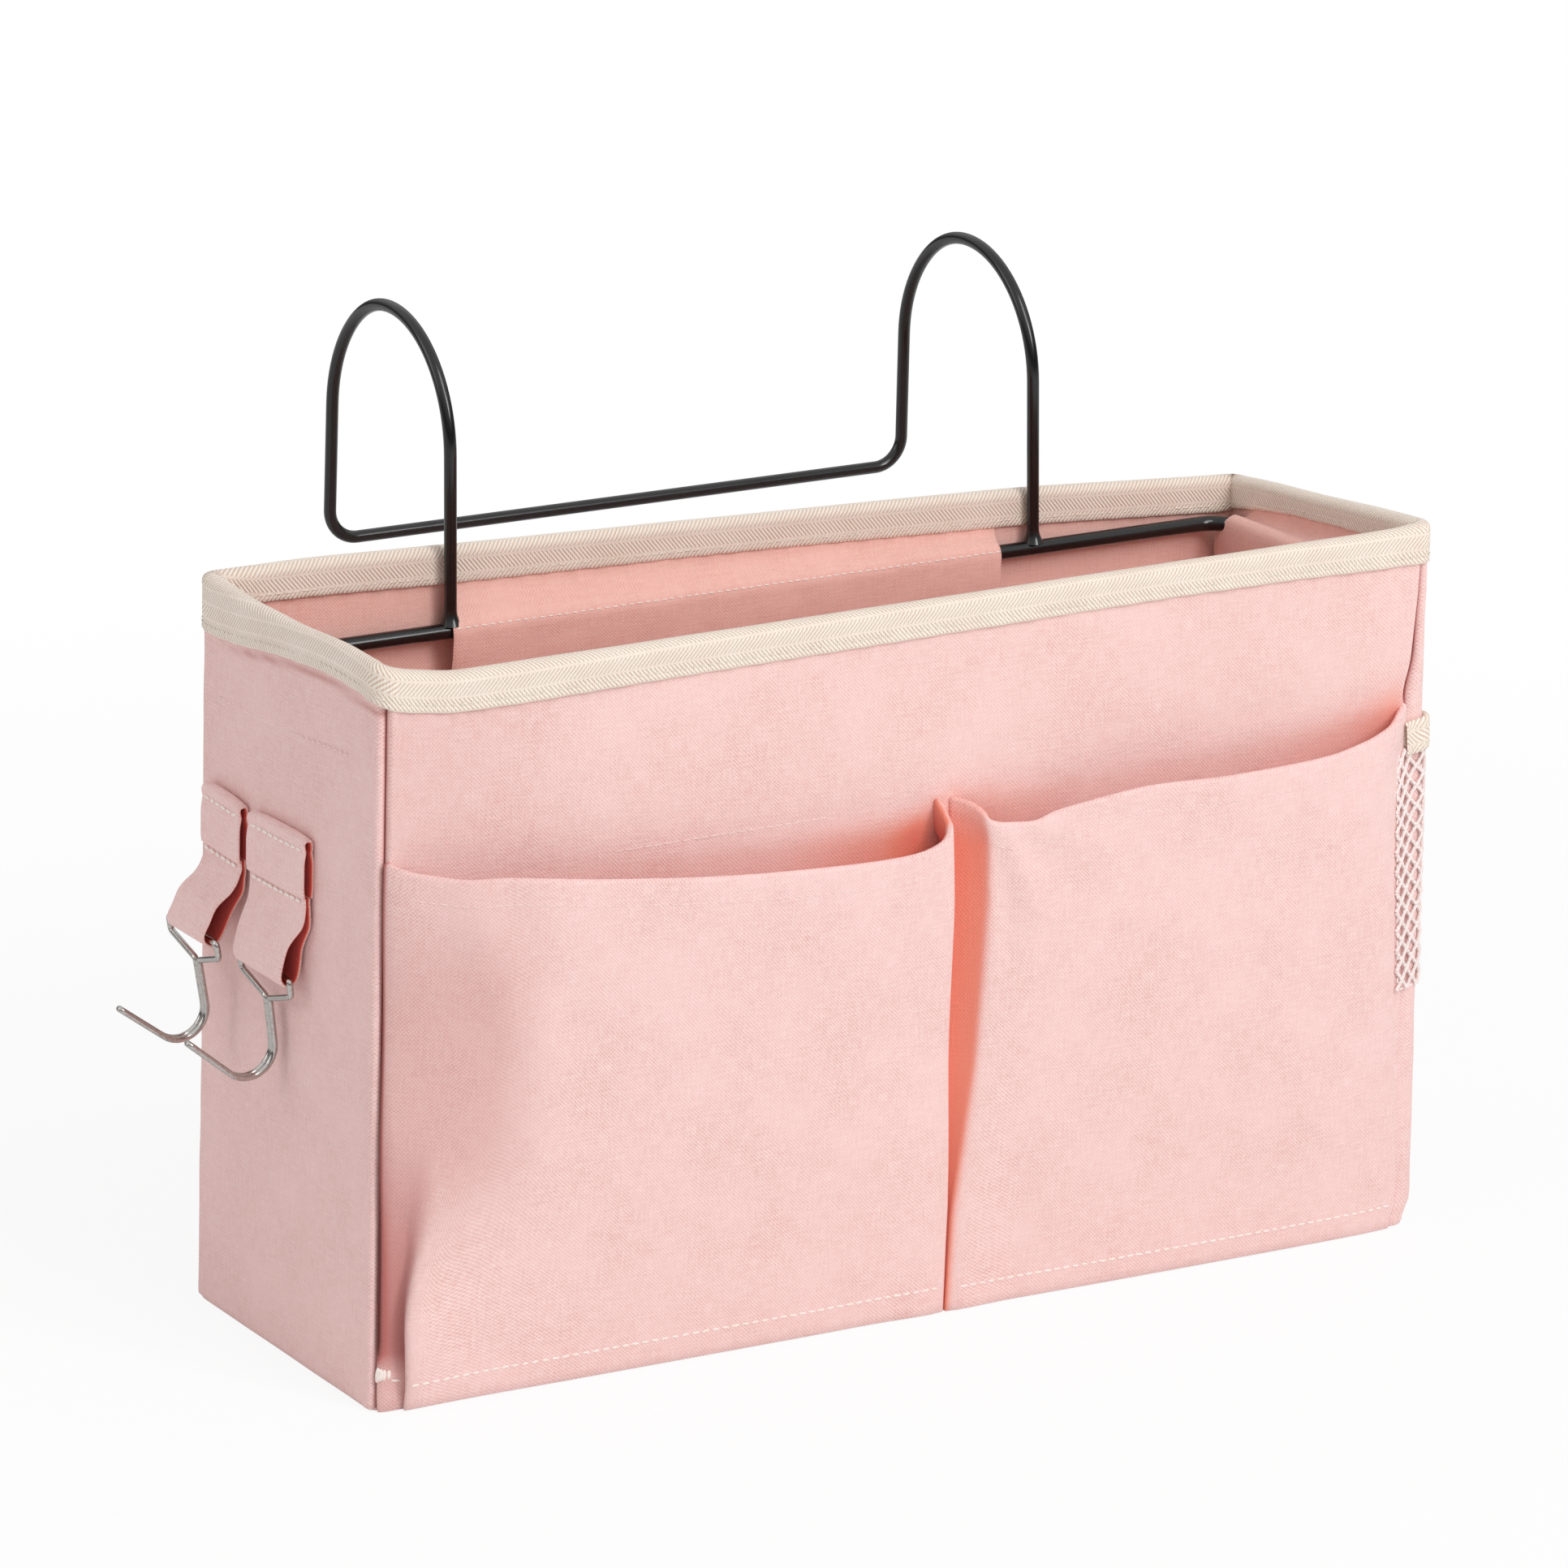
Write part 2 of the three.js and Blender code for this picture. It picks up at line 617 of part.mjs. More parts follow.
function sideNet() {
  const p = netWidth / NET_COLUMNS / 2;
  const q = netHeight / (NET_ROWS + 1);
  const flat = [];
  const triangles = [];
  const known = new Map();
  const vertex = (point) => {
    const key = `${Math.round(point.x * 1000)},${Math.round(point.y * 1000)}`;
    if (!known.has(key)) {
      known.set(key, flat.length);
      flat.push(point);
    }
    return known.get(key);
  };
  const fan = (polygon) => {
    for (const piece of cutAtBends(polygon)) {
      const corners = piece.map(vertex).filter((v, i, all) => v !== all[(i + 1) % all.length]);
      for (let i = 1; i < corners.length - 1; i += 1) triangles.push([corners[0], corners[i], corners[i + 1]]);
    }
  };
  const hole = 1 - (NET_STRAND * Math.hypot(p, q)) / (2 * p * q);
  for (let row = -1; row <= NET_ROWS; row += 1) {
    const shift = row % 2 === 0 ? p : 0;
    for (let column = 0; column <= NET_COLUMNS; column += 1) {
      const centre = new THREE.Vector2(2 * p * column + shift, q * (row + 1));
      const corner = (x, y, scale) => new THREE.Vector2(centre.x + x * p * scale, centre.y + y * q * scale);
      const compass = [[1, 0], [0, 1], [-1, 0], [0, -1]];
      const tile = compass.map(([x, y]) => corner(x, y, 1));
      const within = tile.every((c) => netEdges.every((depth) => depth(c) > -ON_EDGE));
      if (!within) {
        fan(clipTo(netEdges, tile));
        continue;
      }
      const gap = compass.map(([x, y]) => corner(x, y, hole));
      tile.forEach((c, i) => {
        const next = (i + 1) % tile.length;
        fan([c, tile[next], gap[next], gap[i]]);
      });
    }
  }
  const layer = (offset) => flat.map((point) => netPoint(point.x, NET_FOOT + point.y, offset));
  return closeSkins(layer(NET_THICKNESS / 2), layer(-NET_THICKNESS / 2), triangles);
}
add('side_net', sideNet(), netWhite);

function netBinding() {
  const face = NET_THICKNESS / 2 + SEAT + TAPE / 2;
  const crown = NET_TOP - TAPE / 2;
  const section = [
    [-face, netTapeFoot],
    [-face, crown],
    [face, crown],
    [face, netTapeFoot],
  ];
  const stations = [0, netWidth, ...netBends];
  for (let k = 1; k < 12; k += 1) stations.push(netFlat[0] + ((netFlat[1] - netFlat[0]) * k) / 12);
  stations.sort((a, b) => a - b);
  const pointAt = (i, j) => {
    const [layer, z] = section[j];
    return netPoint(stations[i], z, layer);
  };
  return sheet(stations.length - 1, section.length - 1, pointAt, TAPE);
}
add('net_binding', netBinding(), tapeCream);

// Key straps: a doubled strap sewn to the panel, whose lower end is a loop that swings at its stitching

function strapBase() {
  const turn = (STRAP_STACK - STRAP_CANVAS) / 2;
  const middle = -(SEAT + STRAP_STACK / 2);
  const foot = STRAP_STITCH + STRAP_STACK / 2 + SEAT;
  const crown = STRAP_TOP - turn - STRAP_CANVAS / 2;
  const section = [[middle + turn, foot]];
  for (let k = 0; k <= 4; k += 1) {
    const angle = (Math.PI * k) / 4;
    section.push([middle + turn * Math.cos(angle), crown + turn * Math.sin(angle)]);
  }
  section.push([middle - turn, foot]);
  const pointAt = (i, j) => new THREE.Vector3(section[j][0], (i - 0.5) * STRAP_WIDTH, section[j][1]);
  return sheet(1, section.length - 1, pointAt, STRAP_CANVAS);
}

// The outline round two circles on one vertical line, the upper at the start
function beltOutline(PathType, upperY, upperRadius, lowerY, lowerRadius) {
  const lean = Math.asin((lowerRadius - upperRadius) / (upperY - lowerY));
  const path = new PathType();
  path.absarc(0, upperY, upperRadius, lean, Math.PI - lean);
  path.absarc(0, lowerY, lowerRadius, Math.PI - lean, 2 * Math.PI + lean);
  path.closePath();
  return path;
}

function strapLoop() {
  const outline = beltOutline(THREE.Shape, 0, STRAP_STACK / 2, -STRAP_LOOP, LOOP_BOTTOM_RADIUS);
  const room = LOOP_BOTTOM_RADIUS - STRAP_CANVAS;
  outline.holes.push(beltOutline(THREE.Path, -LOOP_OPENS, LOOP_OPENS_RADIUS, -STRAP_LOOP, room));
  const options = { depth: STRAP_WIDTH, bevelEnabled: false, curveSegments: 6 };
  const band = new THREE.ExtrudeGeometry(outline, options);
  return band.rotateX(Math.PI / 2).translate(0, STRAP_WIDTH / 2, 0);
}

// The hook hangs from its bar, which lies along Y through the origin, and opens to -X.
function keyHook() {
  const pair = (HOOK_WIRE + HOOK_PAIR_GAP) / 2;
  const bar = STRAP_WIDTH / 2 + EYE_CLEARANCE + HOOK_WIRE / 2;
  const rise = radians(HOOK_TIP_RISE);
  const cornerDrop = EYE_DROP + HOOK_STEM + HOOK_BEND * Math.tan((Math.PI / 2 + rise) / 2);
  const slant = HOOK_TIP_LENGTH + HOOK_BEND * Math.tan((Math.PI / 2 + rise) / 2);
  const tip = [-slant * Math.cos(rise), slant * Math.sin(rise) - cornerDrop];
  const corner = (x, y, z, radius = 0) => ({ at: new THREE.Vector3(x, y, z), radius });
  const half = (sign) => [
    corner(0, (sign * EYE_JOINT_GAP) / 2, 0),
    corner(0, sign * bar, 0, EYE_BEND),
    corner(0, sign * bar, -EYE_SIDE, EYE_BEND),
    corner(0, sign * pair, -EYE_DROP, EYE_BEND),
    corner(0, sign * pair, -cornerDrop, HOOK_BEND),
    corner(tip[0], sign * pair, tip[1], pair),
  ];
  return wire(new BentWire([...half(1), ...half(-1).reverse()], 26), HOOK_WIRE, FINE_WIRE_SIDES);
}

const barDrop = STRAP_LOOP + LOOP_BOTTOM_RADIUS - STRAP_CANVAS - SEAT - HOOK_WIRE / 2;
const keyHolders = [
  { name: 'front', place: FRONT_STRAP_PLACE, swing: FRONT_STRAP_SWING, lean: FRONT_HOOK_LEAN },
  { name: 'rear', place: REAR_STRAP_PLACE, swing: REAR_STRAP_SWING, lean: REAR_HOOK_LEAN },
];
for (const { name, place, swing, lean } of keyHolders) {
  const base = add(`${name}_strap_base`, strapBase(), canvasPink);
  base.position.set(-HALF_WIDTH, place, 0);
  const hinge = new THREE.Group();
  hinge.position.set(-HALF_WIDTH - SEAT - STRAP_STACK / 2, place, STRAP_STITCH);
  hinge.rotation.y = radians(swing);
  organizer.add(hinge);
  add(`${name}_strap_loop`, strapLoop(), canvasPink, hinge);
  const hook = add(`${name}_key_hook`, keyHook(), hookChrome, hinge);
  hook.position.set(0, 0, -barDrop);
  hook.rotation.y = -radians(swing + lean);
}

export default organizer;
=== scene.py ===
"""Looks of the hanging pocket organizer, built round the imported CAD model.

Sizes below are millimetres and are turned into metres when a mesh is made. The frame is the CAD's:
+X to the right, +Y to the rear, +Z up, with the origin in the middle of the base.
"""

import math
import random

import bpy
import numpy as np
from mathutils import Matrix, Vector


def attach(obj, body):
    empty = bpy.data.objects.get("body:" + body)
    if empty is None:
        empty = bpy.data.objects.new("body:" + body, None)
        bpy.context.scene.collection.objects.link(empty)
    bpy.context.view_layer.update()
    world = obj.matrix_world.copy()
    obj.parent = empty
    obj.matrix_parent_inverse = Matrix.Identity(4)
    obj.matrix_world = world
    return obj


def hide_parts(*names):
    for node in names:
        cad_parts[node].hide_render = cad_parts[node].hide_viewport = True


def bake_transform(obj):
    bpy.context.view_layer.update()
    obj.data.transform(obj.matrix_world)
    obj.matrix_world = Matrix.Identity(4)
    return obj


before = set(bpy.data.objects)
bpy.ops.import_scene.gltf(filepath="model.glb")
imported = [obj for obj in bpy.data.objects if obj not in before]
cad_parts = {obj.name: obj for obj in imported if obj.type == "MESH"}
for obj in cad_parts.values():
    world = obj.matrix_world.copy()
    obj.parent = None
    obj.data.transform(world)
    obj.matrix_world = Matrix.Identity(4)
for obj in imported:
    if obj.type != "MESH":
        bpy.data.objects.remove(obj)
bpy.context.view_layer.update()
rng = random.Random(7)

# Driving sizes, the same as the CAD's
HALF_WIDTH = 190.0
HALF_DEPTH = 57.5
BAG_HEIGHT = 230.0
CORNER = 5.0
WALL = 3.5
RING_Z = 210.0
RING_INSET = 7.6
RING_WIRE = 5.0
RING_BEND = 10.0
WIRE = 4.0
LEG_X = 107.5
FRONT_LEG_Y = 49.9
BACK_LEG_Y = 128.9
ARCH_TOP = 305.0
BACK_ROD_Z = 220.0
LEG_FOOT = 212.8

# Half the flat part of the long and the short walls, between the rounded corners
FLAT_X, FLAT_Y = HALF_WIDTH - CORNER, HALF_DEPTH - CORNER
CANVAS_THICK, LINING_THICK, STRAP_THICK = 0.8, 0.6, 1.05
BOARD_THICK, BASE_BOARD_THICK = 1.3, 1.4
RIM_TAPE_THICK, NET_TAPE_THICK = 1.0, 0.7
# How far in from the wall's outer face the middle of each layer is
CANVAS_INSET, BOARD_INSET, LINING_INSET = 0.4, 1.95, 3.2


# ---------------------------------------------------------------- small maths


def smooth(low, high, value):
    t = np.clip((np.asarray(value, float) - low) / (high - low), 0, 1)
    return t * t * (3 - 2 * t)


def hill(distance, width):
    """1 at no distance, falling off over width."""
    return np.exp(-((distance / width) ** 2))


def table(pairs, value, soften=0.0):
    """Reads value off the line through (place, level) pairs, whose corners are softened."""
    xs, ys = zip(*pairs)
    return sum(np.interp(value + soften * d, xs, ys) for d in (-1, -0.5, 0, 0.5, 1)) / 5


def spans(*runs):
    """Joins (start, end, steps) runs into one list of stations."""
    return np.concatenate([[runs[0][0]], *(np.linspace(a, b, steps + 1)[1:] for a, b, steps in runs)])


def unit(v):
    return v / np.maximum(np.linalg.norm(v, axis=-1, keepdims=True), 1e-12)


def run_length(line):
    """How far along a line of points each point is."""
    return np.concatenate([[0], np.cumsum(np.linalg.norm(np.diff(line, axis=0), axis=1))])


def through(points, steps):
    """Catmull-Rom curve through points, with a given number of steps in each span."""
    p = np.array(points, float)
    p = np.vstack([2 * p[0] - p[1], p, 2 * p[-1] - p[-2]])
    out = []
    for i, count in enumerate(np.broadcast_to(steps, len(p) - 3)):
        a, b, c, d = p[i : i + 4]
        for t in np.arange(count) / count:
            square, cube = (2 * a - 5 * b + 4 * c - d) * t**2, (3 * b - a - 3 * c + d) * t**3
            out.append(0.5 * (2 * b + (c - a) * t + square + cube))
    return np.array([*out, p[-2]])


def near_line(x, z, a, b, width):
    """1 on the segment from a to b, falling off over width."""
    ax, az = a
    dx, dz = b[0] - ax, b[1] - az
    t = np.clip(((x - ax) * dx + (z - az) * dz) / (dx * dx + dz * dz), 0, 1)
    return hill(np.hypot(x - ax - t * dx, z - az - t * dz), width)


def waves(a, b, seed, scale):
    """Gentle unevenness from six crossed sines, about -1 to 1."""
    r = random.Random(seed)
    turn = 6.283
    total = 0
    for _ in range(6):
        angle = r.uniform(0, math.pi)
        length = scale * r.uniform(0.6, 1.7)
        phase = r.uniform(0, turn)
        total = total + np.sin((a * math.cos(angle) + b * math.sin(angle)) * turn / length + phase)
    return total / 3.5


# ---------------------------------------------------------------- how the real bag stands

# How much higher the rim is than the square bag's, along each side
FRONT_RIM = [(-190, 3.2), (-183, 0.6), (-165, -2.2), (176, 7.1), (184, 8.0), (190, 9.4)]
BACK_RIM = [(-190, 5.4), (-149, 6.1), (-109, 5.4), (0, 4.0), (57, 3.3), (107, 2.4), (184, -1.3), (190, -1.4)]
LEFT_RIM = [(-57.5, 3.2), (-54, 4.3), (-31, 4.8), (-1.5, 3.4), (27, 3.3), (57.5, 5.4)]
RIGHT_RIM = [(-57.5, 9.4), (-48, 8.8), (-22.5, 6.6), (4.5, 3.7), (32, 1.5), (51, -0.7), (57.5, -1.4)]
# Each corner's height in the tables above, and its shift in x and y at the rim and at the foot
CORNERS = [
    (3.2, (0, 0), (0, 0)),  # front left
    (9.4, (-5.5, 0), (3.5, 0)),  # front right
    (5.4, (-1.5, 1), (-2, 1.5)),  # rear left
    (-1.4, (0, 0), (2, 0)),  # rear right
]
FOOT_ROUND = 9.0  # radius of the lower rear-left edge
TILT = 0.0195  # of the wire against the bag


def settle(points):
    """Moves points of the square CAD bag to where the soft, slightly twisted bag has them."""
    p = np.array(points, float)
    x, y, z = p[..., 0], p[..., 1], p[..., 2]
    xc, yc = np.clip(x, -HALF_WIDTH, HALF_WIDTH), np.clip(y, -HALF_DEPTH, HALF_DEPTH)
    u, v = (xc / HALF_WIDTH + 1) / 2, (yc / HALF_DEPTH + 1) / 2
    up = np.clip(z / BAG_HEIGHT, 0, 1.2)
    lift = (1 - v) * table(FRONT_RIM, xc, 4) + v * table(BACK_RIM, xc, 8)
    lift = lift + (1 - u) * table(LEFT_RIM, yc, 4) + u * table(RIGHT_RIM, yc, 6)
    dx = dy = 0
    for weight, (height, rim, foot) in zip(((1 - u) * (1 - v), u * (1 - v), (1 - u) * v, u * v), CORNERS):
        lift = lift - weight * height
        dx = dx + weight * (rim[0] * up + foot[0] * (1 - up))
        dy = dy + weight * (rim[1] * up + foot[1] * (1 - up))
    # the front-right corner is pushed out, and its foot is tucked in again
    dx = dx + smooth(162, 190, xc) * (1 - v) * (2.5 - 3.0 * (1 - smooth(2, 10, z)))
    # the lower rear-left edge is rounded off
    a, b = np.maximum(y - (HALF_DEPTH - FOOT_ROUND), 0), np.maximum(FOOT_ROUND - z, 0)
    past = np.maximum(1 - FOOT_ROUND / np.maximum(np.hypot(a, b), 1e-6), 0)
    cut = np.where((a > 0) & (b > 0), past, 0) * (1 - smooth(-186, -150, x))
    return p + np.stack([dx, dy - cut * a, lift * up + cut * b], -1)


def hang(points):
    """The wire hanger and the ring tilt a little against the bag."""
    p = np.array(points, float)
    x, y, z = p[..., 0], p[..., 1], p[..., 2]
    above = z - RING_Z
    dx = -1.7 - TILT * above - 0.026 * np.maximum(above, 0) * smooth(-60, 60, x)
    fall = np.clip((ARCH_TOP - z) / (ARCH_TOP - BACK_ROD_Z), -0.4, 1.0)
    return p + np.stack([dx, (5.0 * fall - 1.8) * smooth(88, 128, y), 0.9 + TILT * x], -1)


# ---------------------------------------------------------------- plan of the bag

ARC = CORNER * math.pi / 2
RUNS = [2 * FLAT_X, 2 * FLAT_Y] * 2
ROUND = sum(RUNS) + 4 * ARC
Q_RIGHT = RUNS[0] + ARC
Q_BACK = Q_RIGHT + RUNS[1] + ARC
Q_LEFT = Q_BACK + RUNS[2] + ARC
STARTS = [(-FLAT_X, -HALF_DEPTH), (HALF_WIDTH, -FLAT_Y), (FLAT_X, HALF_DEPTH), (-HALF_WIDTH, FLAT_Y)]


def plan(q):
    """Outer face of the wall and its outward normal, as x, y, nx and ny, at a distance q round it.

    q starts at the front left and runs anticlockwise as seen from above.
    """
    q = np.mod(np.asarray(q, float), ROUND)
    x, y, nx, ny = np.zeros((4, *q.shape))
    begin = 0.0
    for k, (sx, sy) in enumerate(STARTS):
        turn, run = math.pi / 2 * k, RUNS[k]
        dx, dy = math.cos(turn), math.sin(turn)
        s = q - begin
        m = (s >= 0) & (s < run)
        x[m], y[m], nx[m], ny[m] = sx + dx * s[m], sy + dy * s[m], dy, -dx
        m = (s >= run) & (s < run + ARC + 1e-9)
        angle = turn - math.pi / 2 + (s[m] - run) / CORNER
        nx[m], ny[m] = np.cos(angle), np.sin(angle)
        x[m] = sx + dx * run + CORNER * (nx[m] - dy)
        y[m] = sy + dy * run + CORNER * (ny[m] + dx)
        begin += run + ARC
    return x, y, nx, ny


def wall_points(q, inset, z):
    x, y, nx, ny = plan(q)
    return np.stack([x - inset * nx, y - inset * ny, z + 0 * x], -1)


def outward(q):
    """The wall's outward normals at q."""
    _, _, nx, ny = plan(q)
    return np.stack([nx, ny, 0 * nx], -1)


def q_of(side, value):
    """Distance round the wall for an x on the front or back, or a y on the left or right."""
    if side == "front":
        return value + FLAT_X
    if side == "right":
        return Q_RIGHT + value + FLAT_Y
    if side == "back":
        return Q_BACK + FLAT_X - value
    return Q_LEFT + FLAT_Y - value


def around(q0, q1, step=1.5):
    low, high = sorted((q0, q1))
    return np.linspace(low, high, max(3, int((high - low) / step)))


def front_face(x):
    """y of the front panel's outer face, with its rounded corners."""
    past = np.clip(np.abs(x) - FLAT_X, 0, CORNER)
    return CORNER - HALF_DEPTH - np.sqrt(CORNER**2 - past**2)


# ---------------------------------------------------------------- mesh building


def placed(name, data):
    obj = bpy.data.objects.new(name, data)
    bpy.context.scene.collection.objects.link(obj)
    return obj


def new_object(name, points, faces, coords, sharp=60):
    mesh = bpy.data.meshes.new(name)
    mesh.from_pydata((points * 0.001).tolist(), [], faces)
    mesh.update()
    for polygon in mesh.polygons:
        polygon.use_smooth = True
    mesh.set_sharp_from_angle(angle=math.radians(sharp))
    layer = mesh.attributes.new("cloth", "FLOAT_VECTOR", "POINT")
    layer.data.foreach_set("vector", np.asarray(coords, np.float32).ravel())
    return placed(name, mesh)


def dress(obj, material, body="root", node=None):
    obj.data.materials.clear()
    obj.data.materials.append(material)
    if body:
        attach(obj, body)
    if node:
        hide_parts(node)
    return obj


def turned_out(points, faces):
    """The faces, turned over if they look inward."""
    sample = faces[:: max(1, len(faces) // 4000)]
    volume = sum(np.dot(points[f[0]], np.cross(points[f[1]], points[f[2]])) for f in sample)
    return [f[::-1] for f in faces] if volume < 0 else faces


def cloth(name, mid, thickness, coords, closed=False, inside=0.0, outside=0.0):
    """A grid of points thickened to both sides, with a rounded edge. mid is (columns, rows, 3).

    The third coordinate is how much painted shade or painted glow the material gives the colour. inside and
    outside add to it on one side only.
    """
    nu, nv = mid.shape[:2]
    du = np.roll(mid, -1, 0) - np.roll(mid, 1, 0) if closed else np.gradient(mid, axis=0)
    n = unit(np.cross(unit(du), unit(np.gradient(mid, axis=1)))).reshape(-1, 3)
    half, count = thickness / 2, nu * nv
    flat, flat_coords = mid.reshape(-1, 3), coords.reshape(-1, 3)
    points = [flat + n * half, flat - n * half]
    layers = [flat_coords + (0, 0, outside), flat_coords + (0, 0, inside)]
    faces = []
    for i in range(nu if closed else nu - 1):
        a, b = i * nv, (i + 1) % nu * nv
        for j in range(nv - 1):
            faces.append((a + j, b + j, b + j + 1, a + j + 1))
            faces.append((count + a + j + 1, count + b + j + 1, count + b + j, count + a + j))
    if closed:
        edges = [[(i, 0) for i in range(nu)], [(i, nv - 1) for i in range(nu)][::-1]]
    else:
        edge = [(i, 0) for i in range(nu - 1)] + [(nu - 1, j) for j in range(nv - 1)]
        edge += [(i, nv - 1) for i in range(nu - 1, 0, -1)] + [(0, j) for j in range(nv - 1, 0, -1)]
        edges = [edge]
    for edge in edges:
        rim = [i * nv + j for i, j in edge]
        columns = [i if closed else min(max(i, 1), nu - 2) for i, _ in edge]
        inward = [i * nv + min(max(j, 1), nv - 2) for i, (_, j) in zip(columns, edge)]
        start = sum(len(p) for p in points)
        points.append(flat[rim] + unit(flat[rim] - flat[inward]) * half * 0.9)
        layers.append(flat_coords[rim])
        for k, p in enumerate(rim):
            after = (k + 1) % len(rim)
            q, e, g = rim[after], start + k, start + after
            faces += [(q, p, e, g), (g, e, count + p, count + q)]
    points = np.vstack(points)
    return new_object(name, points, turned_out(points, faces), np.vstack(layers))


def frames(line, closed=False):
    """Tangent and two normals along a line of points, without twist."""
    tangent = unit(np.roll(line, -1, 0) - np.roll(line, 1, 0) if closed else np.gradient(line, axis=0))
    first = np.cross(tangent[0], (0, 0, 1.0))
    if np.linalg.norm(first) < 0.1:
        first = np.cross(tangent[0], (0, 1.0, 0))
    normal = [unit(first)]
    for t in tangent[1:]:
        normal.append(unit(normal[-1] - np.dot(normal[-1], t) * t))
    normal = np.array(normal)
    return tangent, normal, np.cross(tangent, normal)


def ring_faces(count, sides, joint=None):
    """Faces of a tube of count rings. It gets two caps, or its last ring joins the first, joint sides on."""
    faces = []
    for i in range(count - 1 if joint is None else count):
        shift = joint if i == count - 1 else 0
        a, b = i * sides, (i + 1) % count * sides
        for k in range(sides):
            faces.append((a + k, a + (k + 1) % sides, b + (k + 1 + shift) % sides, b + (k + shift) % sides))
    if joint is None:
        faces += [tuple(range(sides))[::-1], tuple((count - 1) * sides + k for k in range(sides))]
    return faces


def tube(name, line, radius, sides, closed=False, round_ends=True):
    tangent, n, b = frames(line, closed)
    centres, radii, index = line, np.broadcast_to(radius, len(line)), np.arange(len(line))
    if round_ends and not closed:
        angle = math.pi / 2 * (np.arange(4) + 0.2) / 4.2
        back, share = np.cos(angle)[:, None], np.sin(angle)
        head = line[0] - tangent[0] * radii[0] * back
        tail = line[-1] + tangent[-1] * radii[-1] * back
        centres = np.vstack([head, line, tail[::-1]])
        radii = np.concatenate([radii[0] * share, radii, radii[-1] * share[::-1]])
        index = np.pad(index, 4, mode="edge")
    angles = np.arange(sides) * 2 * math.pi / sides
    spokes = np.cos(angles)[:, None] * n[index, None] + np.sin(angles)[:, None] * b[index, None]
    rings = centres[:, None] + radii[:, None, None] * spokes
    along, across = np.broadcast_arrays(run_length(centres)[:, None], radii[:, None] * angles)
    # the frames don't meet after a full turn, so the last ring joins the nearest sides of the first
    joint = int(np.argmin(np.linalg.norm(rings[0] - rings[-1, 0], axis=1))) if closed else None
    points = rings.reshape(-1, 3)
    faces = turned_out(points, ring_faces(len(rings), sides, joint))
    return new_object(name, points, faces, np.stack([along, across, 0 * along], -1), sharp=50)


def bent(corners, degrees):
    """A wire route through (point, radius) corners, with an arc in steps of some degrees at each one."""
    places = [np.array(place, float) for place, _ in corners]
    route = [places[0]]
    for before, at, after, (_, radius) in zip(places, places[1:], places[2:], corners[1:]):
        arriving, leaving = unit(at - before), unit(after - at)
        turn = math.acos(max(-1, min(1, float(np.dot(arriving, leaving)))))
        start = at - arriving * radius * math.tan(turn / 2)
        towards = unit(leaving - np.dot(leaving, arriving) * arriving)
        steps = max(3, math.ceil(math.degrees(turn) / degrees))
        for a in turn * np.arange(steps + 1) / steps:
            route.append(start + arriving * radius * math.sin(a) + towards * radius * (1 - math.cos(a)))
    # no two points in one place, and none more than 12 mm apart
    dense = route[:1]
    for p in [*route[1:], places[-1]]:
        gap = np.linalg.norm(p - dense[-1])
        if gap > 1e-3:
            dense += list(np.linspace(dense[-1], p, max(1, math.ceil(gap / 12)) + 1)[1:])
    return np.array(dense)


# ---------------------------------------------------------------- stitches

# Shape of a stitch: place along it and thickness there, as shares of its length and width
BEAD = [(-0.5, 0.12), (-0.42, 0.62), (-0.2, 0.96), (0.2, 0.96), (0.42, 0.62), (0.5, 0.12)]
BEAD_SIDES = 7
STITCH_LIFT = 0.04
STITCH_WANDER = 0.12
# Pitch, length, width and height
TAPE_STITCH = (3.0, 2.1, 0.5, 0.35)
SLEEVE_STITCH = (2.9, 2.0, 0.5, 0.35)
POCKET_STITCH = (3.5, 2.8, 0.75, 0.5)
CORNER_STITCH = (3.4, 3.2, 0.75, 0.5)
MOUTH_STITCH = (3.3, 2.3, 0.42, 0.3)
NET_EDGE_STITCH = (2.6, 1.9, 0.62, 0.42)
STRAP_STITCH = (3.6, 3.0, 1.1, 0.8)
LEFT_WALL_STITCH = (3.4, 2.4, 0.45, 0.3)
FRONT_WALL_STITCH = (3.2, 2.9, 0.42, 0.3)


def joined(name, parts):
    """One mesh out of several (points, faces, coords) parts."""
    faces, start = [], 0
    for points, part_faces, _ in parts:
        faces += [tuple(i + start for i in face) for face in part_faces]
        start += len(points)
    return new_object(name, np.vstack([p for p, _, _ in parts]), faces, np.vstack([c for _, _, c in parts]))


def bead(centre, along, out, length, width, height):
    """One stitch: a slim rounded bead that lies on the cloth."""
    side = np.cross(out, along)
    points, coords = [], []
    for s, r in BEAD:
        for k in range(BEAD_SIDES):
            a = 2 * math.pi * k / BEAD_SIDES
            across = side * width * math.cos(a) + out * height * math.sin(a)
            points.append(centre + along * s * length + across * r / 2)
            coords.append((s * length, a, 0))
    return np.array(points), ring_faces(len(BEAD), BEAD_SIDES), np.array(coords, float)


def stitch_parts(line, normals, pitch, length, width, height):
    """Stitches spaced along a line of surface points with their outward normals."""
    s = run_length(line)

    def at(place, values):
        return np.array([np.interp(place, s, column) for column in values.T])

    parts = []
    normals, place = unit(normals), pitch * 0.4
    while place < s[-1] - pitch * 0.3:
        n = unit(at(place, normals))
        t = unit(at(place + 0.6, line) - at(place - 0.6, line))
        t = unit(t + np.cross(n, t) * rng.uniform(-STITCH_WANDER, STITCH_WANDER))
        n = unit(n - np.dot(n, t) * t)
        centre = at(place, line) + n * STITCH_LIFT
        parts.append(bead(centre, t, n, length * rng.uniform(0.86, 1.08), width, height))
        place += pitch * rng.uniform(0.95, 1.05)
    return parts


